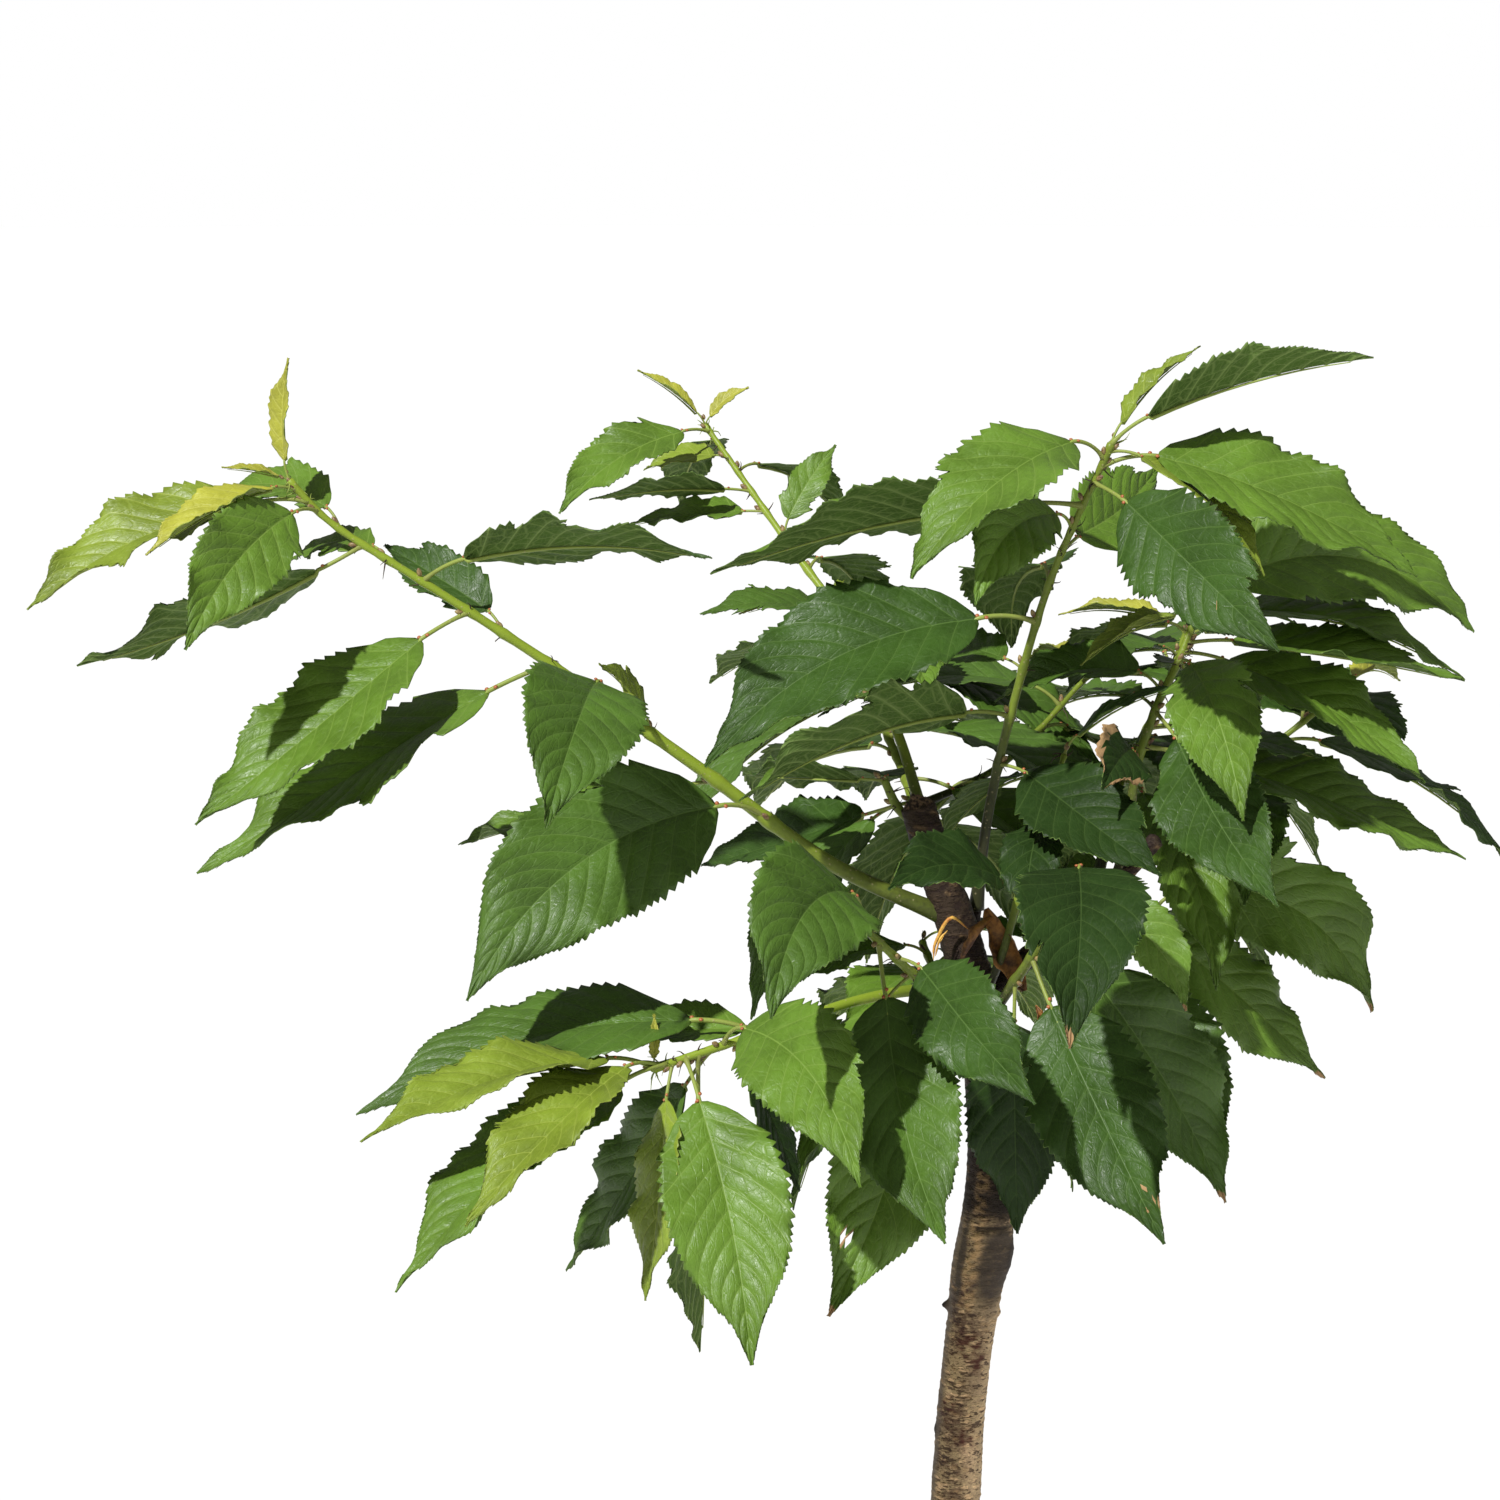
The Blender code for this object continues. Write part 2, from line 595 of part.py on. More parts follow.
def leaf_grid(leaf, shares, across):
    """The leaf's middle surface, as rows of points across it at shares of its whole length."""
    turn = blade_turn(leaf)
    stalk = STALK_SHARE / (1 + STALK_SHARE)
    rows = []
    for share in shares:
        middle, pitch = leaf_middle(leaf, share)
        _, side, face = leaf_axes(leaf, pitch)
        edge = side * math.cos(turn) - face * math.sin(turn)
        top = face * math.cos(turn) + side * math.sin(turn)
        along_blade = max(0, (share - stalk) / (1 - stalk))
        half = leaf["half_width"] * blade_half_width(min(1, along_blade)) if along_blade > 0 else 0
        half = max(half, STALK_HALF_WIDTH if share < 0.6 else TIP_HALF_WIDTH)
        fold = leaf["fold"] * min(1, 4 * along_blade)
        rows.append([middle + half * (v * math.cos(fold) * edge + abs(v) * math.sin(fold) * top)
                     for v in across])
    return np.array(rows)


def leaf_shares(stalk_steps, blade_steps):
    """Shares of the leaf's whole length, along its stalk and then along its blade."""
    stalk = STALK_SHARE / (1 + STALK_SHARE)
    steps = [stalk * k / stalk_steps for k in range(stalk_steps)]
    return steps + [stalk + (1 - stalk) * k / blade_steps for k in range(blade_steps + 1)]


def grid_tree(grid):
    """A search tree of a grid of points, with the points as a list."""
    rows, columns, _ = grid.shape
    faces = []
    for r in range(rows - 1):
        for c in range(columns - 1):
            a = r * columns + c
            faces.append((a, a + 1, a + columns + 1, a + columns))
    points = [tuple(point) for point in grid.reshape(-1, 3)]
    return BVHTree.FromPolygons(points, faces), points


def mesh_tree(mesh):
    points = [tuple(corner.co) for corner in mesh.vertices]
    return BVHTree.FromPolygons(points, [tuple(face.vertices) for face in mesh.polygons]), points


def too_near(first, second, clearance):
    """Whether two surfaces cross or come nearer than the clearance."""
    if first[0].overlap(second[0]):
        return True
    return any(
        tree.find_nearest(point, clearance)[0] is not None
        for tree, points in ((first[0], second[1]), (second[0], first[1]))
        for point in points
    )


def settle_leaf(leaf, others, own):
    """Turns the leaf until it is clear of all others, or gives None."""
    shares = leaf_shares(TRIAL_STALK_STEPS, TRIAL_BLADE_STEPS)
    compass, rise, fall = leaf["compass"], leaf["rise"], leaf["fall"]
    for turn, lift in NUDGES:
        leaf.update(compass=compass + turn, rise=rise + lift, fall=fall + lift)
        grid = leaf_grid(leaf, shares, (-1, -0.5, 0, 0.5, 1))
        whole, blade = grid_tree(grid[1:]), grid_tree(grid[TRIAL_STALK_STEPS + 1:])
        if any(too_near(whole, other, CLEARANCE) for other in others):
            continue
        if any(blade[0].overlap(mine[0]) for _, mine in own):
            continue
        own.append((whole, blade))
        return leaf
    return None


def leaves_of(name, shoot, twigs, others):
    """Every leaf of the mass, each with its root on a twig and clear of its neighbours."""
    dice = random.Random(name)
    own, leaves = [], []
    for line, _, rows, bare in twigs:
        count = len(rows)
        for number, (compass, rise, fall, length, roll) in enumerate(rows):
            order = number / max(1, count - 1)
            share = bare + (1 - bare) * (1 - (1 - order) ** shoot["crowding"])
            youth = max(0, (order - 1 + shoot["young"]) / shoot["young"]) if shoot["young"] else 0
            leaf = {
                "root": line[int(round(share * (len(line) - 1)))],
                "compass": compass, "rise": rise, "fall": fall, "length": length,
                "roll": roll, "lean": dice.uniform(*LEAN),
                "fold": dice.uniform(*FOLD) + YOUNG_FOLD * youth,
                "half_width": length * (BROAD + (NARROW - BROAD) * youth) * dice.uniform(*WIDTH_SPREAD),
            }
            settled = settle_leaf(leaf, others, own)
            if settled:
                leaves.append(settled)
            else:
                print(f"{name}: leaf {number} left out")
    return leaves, own


def leaf_mesh(leaf):
    """A leaf and its stalk as one thin closed blade, shaped from a grid."""
    shares = leaf_shares(STALK_STEPS, BLADE_STEPS)
    grid = leaf_grid(leaf, shares, (-1, 0, 1))
    mesh = bpy.data.meshes.new("leaf")
    shape = bmesh.new()
    bmesh.ops.create_grid(shape, x_segments=2, y_segments=len(shares) - 1, size=1)
    for corner in shape.verts:
        column = round(corner.co.x + 1)
        row = round((corner.co.y + 1) / 2 * (len(shares) - 1))
        corner.co = grid[row][column]
    shape.normal_update()
    bmesh.ops.solidify(shape, geom=shape.faces[:], thickness=BLADE_THICKNESS)
    bmesh.ops.recalc_face_normals(shape, faces=shape.faces)
    shape.to_mesh(mesh)
    shape.free()
    return mesh


def twig_mesh(name, twig):
    line, (thick, thin), _, _ = twig
    count = len(line) // 4
    places = np.linspace(0, len(line) - 1, count).round().astype(int)
    radii = np.linspace(thick, thin, count)
    return tube_mesh(name, line[places], radii, TWIG_SIDES)


def make_mass(name, shoot, leaves, twigs, parts, scratch, material):
    """Fuses the twigs and leaves of one mass, and cuts its root to its limb."""
    mass = add_object(name, twig_mesh(name, twigs[0]), parts, material)
    for twig in twigs[1:]:
        add_object("twig", twig_mesh("twig", twig), scratch)
    for leaf in leaves:
        add_object("leaf", leaf_mesh(leaf), scratch)
    boolean(mass, "UNION", scratch, "MANIFOLD")
    cut_seats(mass, shoot["grows_from"], scratch)
    mass.data.materials.clear()
    mass.data.materials.append(material)
    return mass


def main():
    clear_scene()
    parts = new_collection("potted_cherry_tree")
    cutters = new_collection("cutters", hidden=True)
    scratch = new_collection("scratch", hidden=True)
    make_pot(parts, cutters)
    make_soil(parts)
    taken = []
    for name in LIMBS:
        limb = make_limb(name, parts, scratch)
        taken.append((name, mesh_tree(limb.data)))
    twigs = {name: twigs_of(shoot) for name, shoot in SHOOTS.items()}
    for name in SHOOTS:
        for twig in twigs[name]:
            taken.append((name, mesh_tree(twig_mesh("probe", twig))))
    total = 0
    for name, shoot in SHOOTS.items():
        others = [tree for owner, tree in taken if owner != name]
        leaves, own = leaves_of(name, shoot, twigs[name], others)
        taken += [(name, whole) for whole, _ in own]
        make_mass(name, shoot, leaves, twigs[name], parts, scratch,
                  new_material(name, COLOURS["foliage"], 0.5))
        total += len(leaves)
    print(f"{total} leaves")
    bpy.data.collections.remove(scratch)


if __name__ == "__main__":
    main()
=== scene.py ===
# A young cherry tree in a clay pot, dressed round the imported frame. Metres, +Z up.
# A compass angle is 0 along +X and 90 along +Y. The usual view is from -Y.
import json
import math
import random

import bmesh
import bpy
import numpy as np
from mathutils import Matrix, Vector, noise
from mathutils.bvhtree import BVHTree
from mathutils.kdtree import KDTree

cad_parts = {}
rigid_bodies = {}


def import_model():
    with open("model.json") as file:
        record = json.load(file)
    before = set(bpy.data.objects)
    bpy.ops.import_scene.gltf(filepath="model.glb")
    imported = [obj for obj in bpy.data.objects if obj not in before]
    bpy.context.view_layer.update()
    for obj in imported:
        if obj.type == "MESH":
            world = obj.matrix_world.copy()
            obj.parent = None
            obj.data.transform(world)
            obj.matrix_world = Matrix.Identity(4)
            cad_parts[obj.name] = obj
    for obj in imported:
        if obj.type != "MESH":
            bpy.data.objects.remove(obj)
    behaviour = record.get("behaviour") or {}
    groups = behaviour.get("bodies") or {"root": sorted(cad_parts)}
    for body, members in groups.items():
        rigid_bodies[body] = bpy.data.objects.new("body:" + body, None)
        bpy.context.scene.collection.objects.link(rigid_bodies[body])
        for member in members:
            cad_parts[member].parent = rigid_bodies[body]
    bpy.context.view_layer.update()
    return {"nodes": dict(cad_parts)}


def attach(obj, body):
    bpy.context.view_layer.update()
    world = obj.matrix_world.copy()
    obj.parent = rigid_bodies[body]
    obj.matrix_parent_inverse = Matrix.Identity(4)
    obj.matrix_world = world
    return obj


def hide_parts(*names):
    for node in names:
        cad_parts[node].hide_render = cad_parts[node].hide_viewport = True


for startupThing in list(bpy.data.objects):
    bpy.data.objects.remove(startupThing, do_unlink=True)

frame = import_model()


# Camera and studio

shot = {"target": (-0.0975, 0.0, 1.015), "distance": 2.2, "elevation": 8, "lens": 105.6}
studio = {
    "floorRadius": 60, "floor": (0.78, 0.78, 0.775), "sky": (1.0, 1.0, 0.97), "skyLight": 0.197,
    "backdrop": (1.0, 1.0, 1.0), "sunFrom": (-0.42, -0.62, 0.78), "sunLight": 5.0, "sunSoftness": 1.4,
    "fillFrom": (0.75, -0.55, 0.25), "fillLight": 0.30, "fillSoftness": 60,
}


def makeCamera():
    tilt = math.radians(shot["elevation"])
    ahead = Vector((0, math.cos(tilt), -math.sin(tilt)))
    camera = bpy.data.objects.new("camera", bpy.data.cameras.new("camera"))
    bpy.context.scene.collection.objects.link(camera)
    camera.location = Vector(shot["target"]) - ahead * shot["distance"]
    camera.rotation_euler = ahead.to_track_quat("-Z", "Y").to_euler()
    camera.data.lens = shot["lens"]
    camera.data.clip_end = 200
    bpy.context.scene.camera = camera


def addSun(name, comesFrom, strength, softness):
    sun = bpy.data.objects.new(name, bpy.data.lights.new(name, "SUN"))
    bpy.context.scene.collection.objects.link(sun)
    sun.data.energy = strength
    sun.data.angle = math.radians(softness)
    sun.rotation_euler = (-Vector(comesFrom)).to_track_quat("-Z", "Y").to_euler()


def makeStudio():
    shape = bmesh.new()
    bmesh.ops.create_circle(shape, cap_ends=True, segments=64, radius=studio["floorRadius"])
    mesh = bpy.data.meshes.new("floor")
    shape.to_mesh(mesh)
    shape.free()
    floor = bpy.data.objects.new("floor", mesh)
    bpy.context.scene.collection.objects.link(floor)
    paint = bpy.data.materials.new("floorPaint")
    paint.use_nodes = True
    paint.node_tree.nodes["Principled BSDF"].inputs["Base Color"].default_value = (*studio["floor"], 1)
    paint.node_tree.nodes["Principled BSDF"].inputs["Roughness"].default_value = 0.9
    mesh.materials.append(paint)
    addSun("keyLight", studio["sunFrom"], studio["sunLight"], studio["sunSoftness"])
    addSun("fillLight", studio["fillFrom"], studio["fillLight"], studio["fillSoftness"])
    world = bpy.data.worlds.new("studio")
    bpy.context.scene.world = world
    world.use_nodes = True
    tree = world.node_tree
    sky = tree.nodes["Background"]
    sky.inputs["Color"].default_value = (*studio["sky"], 1)
    sky.inputs["Strength"].default_value = studio["skyLight"]
    backdrop = tree.nodes.new("ShaderNodeBackground")
    backdrop.inputs["Color"].default_value = (*studio["backdrop"], 1)
    seen = tree.nodes.new("ShaderNodeLightPath")
    chosen = tree.nodes.new("ShaderNodeMixShader")
    tree.links.new(seen.outputs["Is Camera Ray"], chosen.inputs["Fac"])
    tree.links.new(sky.outputs["Background"], chosen.inputs[1])
    tree.links.new(backdrop.outputs["Background"], chosen.inputs[2])
    tree.links.new(chosen.outputs["Shader"], tree.nodes["World Output"].inputs["Surface"])
    bpy.context.scene.view_settings.view_transform = "Standard"


# Shader helpers

def addNode(tree, kind, inputs=None, **settings):
    node = tree.nodes.new(kind)
    for key, value in settings.items():
        setattr(node, key, value)
    for key, value in (inputs or {}).items():
        if isinstance(value, bpy.types.NodeSocket):
            tree.links.new(value, node.inputs[key])
        else:
            node.inputs[key].default_value = value
    return node


def addMath(tree, operation, *values):
    node = tree.nodes.new("ShaderNodeMath")
    node.operation = operation
    for socket, value in zip(node.inputs, values):
        if isinstance(value, bpy.types.NodeSocket):
            tree.links.new(value, socket)
        else:
            socket.default_value = value
    return node.outputs[0]


def fadeBetween(tree, value, low, high):  # 0 below low, 1 above high, smooth between
    node = addNode(tree, "ShaderNodeMapRange", {"From Min": low, "From Max": high},
                   interpolation_type="SMOOTHSTEP", clamp=True)
    tree.links.new(value, node.inputs["Value"])
    return node.outputs["Result"]


def mixColours(tree, share, first, second, blend="MIX"):
    node = tree.nodes.new("ShaderNodeMix")
    node.data_type = "RGBA"
    node.blend_type = blend
    for number, value in ((0, share), (6, first), (7, second)):
        if isinstance(value, bpy.types.NodeSocket):
            tree.links.new(value, node.inputs[number])
        elif number == 0:
            node.inputs[number].default_value = value
        else:
            node.inputs[number].default_value = (*value, 1)
    return node.outputs[2]


def newGroup(name, inputs, outputs):
    group = bpy.data.node_groups.new(name, "ShaderNodeTree")
    for label, kind, value in inputs:
        socket = group.interface.new_socket(label, in_out="INPUT", socket_type=kind)
        if value is not None:
            socket.default_value = value
    for label, kind in outputs:
        group.interface.new_socket(label, in_out="OUTPUT", socket_type=kind)
    return group, group.nodes.new("NodeGroupInput"), group.nodes.new("NodeGroupOutput")


def makeMottleGroup():  # two sizes of soft blotches, as one value and as a height
    group, given, result = newGroup(
        "mottle",
        [("Vector", "NodeSocketVector", None), ("Scale", "NodeSocketFloat", 40.0),
         ("Fine Scale", "NodeSocketFloat", 400.0), ("Fine Share", "NodeSocketFloat", 0.35)],
        [("Value", "NodeSocketFloat"), ("Fine", "NodeSocketFloat")])
    broad = addNode(group, "ShaderNodeTexNoise", {
        "Vector": given.outputs["Vector"], "Scale": given.outputs["Scale"], "Detail": 3.0})
    fine = addNode(group, "ShaderNodeTexNoise", {
        "Vector": given.outputs["Vector"], "Scale": given.outputs["Fine Scale"], "Detail": 2.0})
    both = addNode(group, "ShaderNodeMix", {0: given.outputs["Fine Share"], 2: broad.outputs["Fac"],
                                            3: fine.outputs["Fac"]})
    group.links.new(both.outputs[0], result.inputs["Value"])
    group.links.new(fine.outputs["Fac"], result.inputs["Fine"])
    return group


def makeVeinNetGroup():  # the fine net between a leaf's side veins, on its own "place" attribute
    group, given, result = newGroup(
        "veinNet",
        [("Ladder", "NodeSocketFloat", 1.5), ("Mesh", "NodeSocketFloat", 6.0)],
        [("Lines", "NodeSocketFloat"), ("Height", "NodeSocketFloat"), ("Near Vein", "NodeSocketFloat")])
    place = addNode(group, "ShaderNodeAttribute", attribute_name="place")
    split = addNode(group, "ShaderNodeSeparateXYZ", {"Vector": place.outputs["Vector"]})
    wobble = addNode(group, "ShaderNodeTexNoise", {"Vector": place.outputs["Vector"], "Scale": 1.6})
    bent = addNode(group, "ShaderNodeMix", {"Factor": 0.16, 4: place.outputs["Vector"],
                                            5: wobble.outputs["Color"]}, data_type="VECTOR")
    ladderPlace = addNode(group, "ShaderNodeMapping", {"Vector": bent.outputs[1], "Scale": (1.0, 2.1, 0.0)})
    ladder = addNode(group, "ShaderNodeTexVoronoi", {
        "Vector": ladderPlace.outputs["Vector"], "Scale": given.outputs["Ladder"]},
        voronoi_dimensions="2D", feature="DISTANCE_TO_EDGE")
    netPlace = addNode(group, "ShaderNodeMapping", {"Vector": bent.outputs[1], "Scale": (1.0, 1.0, 0.0)})
    net = addNode(group, "ShaderNodeTexVoronoi", {
        "Vector": netPlace.outputs["Vector"], "Scale": given.outputs["Mesh"]},
        voronoi_dimensions="2D", feature="DISTANCE_TO_EDGE")
    rungs = fadeBetween(group, ladder.outputs["Distance"], 0.11, 0.015)
    cells = fadeBetween(group, net.outputs["Distance"], 0.16, 0.02)
    lines = addMath(group, "MAXIMUM", rungs, addMath(group, "MULTIPLY", cells, 0.45))
    raised = addMath(group, "ADD", addMath(group, "MULTIPLY", rungs, -0.7),
                     addMath(group, "MULTIPLY", cells, -0.3))
    within = addMath(group, "FRACT", split.outputs["X"])
    near = addMath(group, "ABSOLUTE", addMath(group, "SUBTRACT", within, 0.5))
    group.links.new(lines, result.inputs["Lines"])
    group.links.new(raised, result.inputs["Height"])
    group.links.new(fadeBetween(group, near, 0.30, 0.5), result.inputs["Near Vein"])
    return group


def newMaterial(name, colour, roughness, **sockets):
    made = bpy.data.materials.new(name)
    made.use_nodes = True
    made.diffuse_color = (*colour, 1)
    tree = made.node_tree
    shader = tree.nodes["Principled BSDF"]
    shader.inputs["Base Color"].default_value = (*colour, 1)
    shader.inputs["Roughness"].default_value = roughness
    for key, value in sockets.items():
        shader.inputs[key].default_value = value
    return made, tree, shader


def objectPlace(tree):
    return addNode(tree, "ShaderNodeTexCoord").outputs["Object"]


def useGroup(tree, group, **values):
    node = tree.nodes.new("ShaderNodeGroup")
    node.node_tree = group
    for key, value in values.items():
        label = key.replace("_", " ")
        if isinstance(value, bpy.types.NodeSocket):
            tree.links.new(value, node.inputs[label])
        else:
            node.inputs[label].default_value = value
    return node


def scaled(colour, factor):
    return tuple(min(1, part * factor) for part in colour)


def addBump(tree, shader, height, strength, distance):
    bump = addNode(tree, "ShaderNodeBump", {"Height": height, "Strength": strength, "Distance": distance})
    tree.links.new(bump.outputs["Normal"], shader.inputs["Normal"])
    return bump


# Leaf finishes

leafTones = {  # upper side of a blade, and the vein that crosses it
    # "shade" is painted shade: a darker, duller copy of the leaf colour for leaves that lie in shadow
    "shade": {"blade": (0.016, 0.036, 0.007), "vein": (0.038, 0.070, 0.016), "shine": 0.12},
    "deep": {"blade": (0.032, 0.072, 0.010), "vein": (0.060, 0.114, 0.021), "shine": 0.27},
    "mid": {"blade": (0.055, 0.113, 0.013), "vein": (0.092, 0.163, 0.029), "shine": 0.31},
    "fresh": {"blade": (0.088, 0.166, 0.016), "vein": (0.140, 0.226, 0.036), "shine": 0.31},
    "young": {"blade": (0.160, 0.222, 0.020), "vein": (0.245, 0.305, 0.046), "shine": 0.34},
    "tip": {"blade": (0.320, 0.325, 0.035), "vein": (0.400, 0.400, 0.080), "shine": 0.34},
}
underTones = {
    "under": {"blade": (0.060, 0.112, 0.018), "vein": (0.165, 0.235, 0.066), "shine": 0.16},
    "underYoung": {"blade": (0.165, 0.218, 0.028), "vein": (0.290, 0.335, 0.078), "shine": 0.20},
}
leafFinish = {"gloss": 0.42, "underGloss": 0.64, "veinGloss": 0.48, "lineShare": 0.24,
              "paleShare": 0.14, "underLineShare": 0.55, "underPaleShare": 0.35, "netDepth": 0.00016,
              "ripple": 0.00035}


def leafMaterial(name, tone, roughness, lineShare, paleShare, relief):
    colour, veinColour = tone["blade"], tone["vein"]
    made, tree, shader = newMaterial(name, colour, roughness, **{"Specular IOR Level": tone["shine"]})
    place = objectPlace(tree)
    mottle = useGroup(tree, mottleGroup, Vector=place, Scale=32.0, Fine_Scale=300.0, Fine_Share=0.2)
    net = useGroup(tree, veinNetGroup)
    tone = mixColours(tree, fadeBetween(tree, mottle.outputs["Value"], 0.35, 0.65),
                      scaled(colour, 0.80), scaled(colour, 1.18))
    pale = mixColours(tree, addMath(tree, "MULTIPLY", net.outputs["Near Vein"], paleShare), tone, veinColour)
    lined = mixColours(tree, addMath(tree, "MULTIPLY", net.outputs["Lines"], lineShare), pale, veinColour)
    tree.links.new(lined, shader.inputs["Base Color"])
    gloss = addNode(tree, "ShaderNodeMapRange", {"Value": mottle.outputs["Fine"], "From Min": 0.3,
                                                 "From Max": 0.7, "To Min": roughness - 0.07,
                                                 "To Max": roughness + 0.10})
    tree.links.new(gloss.outputs["Result"], shader.inputs["Roughness"])
    height = addMath(tree, "ADD", addMath(tree, "MULTIPLY", net.outputs["Height"], relief),
                     addMath(tree, "MULTIPLY", mottle.outputs["Fine"], leafFinish["ripple"]))
    addBump(tree, shader, height, 0.9, 1.0)
    return made


def makeLeafMaterials():
    made = {}
    for name, tone in leafTones.items():
        made[name] = leafMaterial(name + "Leaf", tone, leafFinish["gloss"], leafFinish["lineShare"],
                                  leafFinish["paleShare"], leafFinish["netDepth"])
        vein, tree, shader = newMaterial(name + "Vein", tone["vein"], leafFinish["veinGloss"],
                                         **{"Specular IOR Level": tone["shine"]})
        spots = useGroup(tree, mottleGroup, Vector=objectPlace(tree), Scale=90.0)
        tree.links.new(mixColours(tree, spots.outputs["Value"], scaled(tone["vein"], 0.75),
                                  scaled(tone["vein"], 1.2)), shader.inputs["Base Color"])
        made[name + "Vein"] = vein
    for name, tone in underTones.items():
        made[name] = leafMaterial(name + "Leaf", tone, leafFinish["underGloss"], leafFinish["underLineShare"],
                                  leafFinish["underPaleShare"], -leafFinish["netDepth"])
        vein, tree, shader = newMaterial(name + "Vein", tone["vein"], 0.6, **{"Specular IOR Level": tone["shine"]})
        spots = useGroup(tree, mottleGroup, Vector=objectPlace(tree), Scale=90.0)
        tree.links.new(mixColours(tree, spots.outputs["Value"], scaled(tone["vein"], 0.8),
                                  scaled(tone["vein"], 1.15)), shader.inputs["Base Color"])
        made[name + "Vein"] = vein
    scorch, tree, shader = newMaterial("scorchedLeaf", (0.30, 0.17, 0.06), 0.8)
    spots = useGroup(tree, mottleGroup, Vector=objectPlace(tree), Scale=160.0, Fine_Scale=900.0)
    tree.links.new(mixColours(tree, spots.outputs["Value"], (0.16, 0.075, 0.03), (0.46, 0.30, 0.13)),
                   shader.inputs["Base Color"])
    addBump(tree, shader, spots.outputs["Fine"], 0.5, 0.0006)
    made["scorch"] = scorch
    return made


def makeStemMaterial(name, young, old, roughness):  # this attribute holds age, 0 at a tip and 1 at the root, and on the inner shoots painted shade that pushes them toward the old colour
    made, tree, shader = newMaterial(name, young, roughness, **{"Specular IOR Level": 0.28})
    place = objectPlace(tree)
    age = addNode(tree, "ShaderNodeAttribute", attribute_name="age")
    streaks = useGroup(tree, mottleGroup, Vector=place, Scale=60.0, Fine_Scale=520.0, Fine_Share=0.4)
    aged = addMath(tree, "ADD", age.outputs["Fac"],
                   addMath(tree, "MULTIPLY", addMath(tree, "SUBTRACT", streaks.outputs["Value"], 0.5), 0.7))
    tone = mixColours(tree, fadeBetween(tree, aged, 0.10, 1.15), young, old)
    tone = mixColours(tree, fadeBetween(tree, streaks.outputs["Fine"], 0.35, 0.75), tone,
                      scaled(young, 1.25), "MIX") if roughness < 0.4 else tone
    specks = addNode(tree, "ShaderNodeTexVoronoi", {"Vector": place, "Scale": 330.0, "Randomness": 1.0})
    dots = fadeBetween(tree, specks.outputs["Distance"], 0.22, 0.12)
    tone = mixColours(tree, addMath(tree, "MULTIPLY", dots, 0.4), tone, (0.36, 0.30, 0.16))
    tree.links.new(tone, shader.inputs["Base Color"])
    addBump(tree, shader, addMath(tree, "ADD", streaks.outputs["Fine"], dots), 0.35, 0.0004)
    return made


# Growth rule, as in the source: limbs, shoots, and where each leaf settles

limbs = {
    "trunk": {
        "points": [
            (0.000, 0.000, 0.2753), (0.000, 0.000, 0.287), (0.000, 0.000, 0.305),
            (-0.001, 0.001, 0.350), (-0.002, 0.003, 0.430), (0.001, 0.003, 0.530),
            (0.008, 0.000, 0.635), (0.011, 0.000, 0.682), (0.015, 0.000, 0.718),
            (0.019, 0.000, 0.752), (0.023, 0.000, 0.778), (0.025, 0.000, 0.812),
            (0.022, 0.000, 0.857), (0.017, 0.000, 0.893),
        ],
        "radii": [
            0.0205, 0.0185, 0.0168, 0.0150, 0.0140, 0.0132, 0.0126, 0.0124, 0.0124, 0.0138,
            0.0130, 0.0122, 0.0122, 0.0125,
        ],
    },
    "bough_left": {
        "points": [(0.019, 0.0, 0.882), (0.007, 0.0, 0.924), (-0.004, 0.0, 0.956), (-0.014, 0.0, 0.988)],
        "radii": [0.0112, 0.0105, 0.0096, 0.0088],
    },
    "bough_centre": {
        "points": [(0.018, 0.000, 0.890), (0.016, 0.017, 0.912), (0.017, 0.014, 0.936)],
        "radii": [0.0036, 0.0034, 0.0030],
    },
    "bough_right": {
        "points": [
            (0.019, 0.000, 0.888), (0.038, 0.000, 0.906), (0.066, 0.003, 0.928),
            (0.091, 0.005, 0.952), (0.107, 0.006, 0.969),
        ],
        "radii": [0.0062, 0.0058, 0.0052, 0.0048, 0.0046],
    },
}

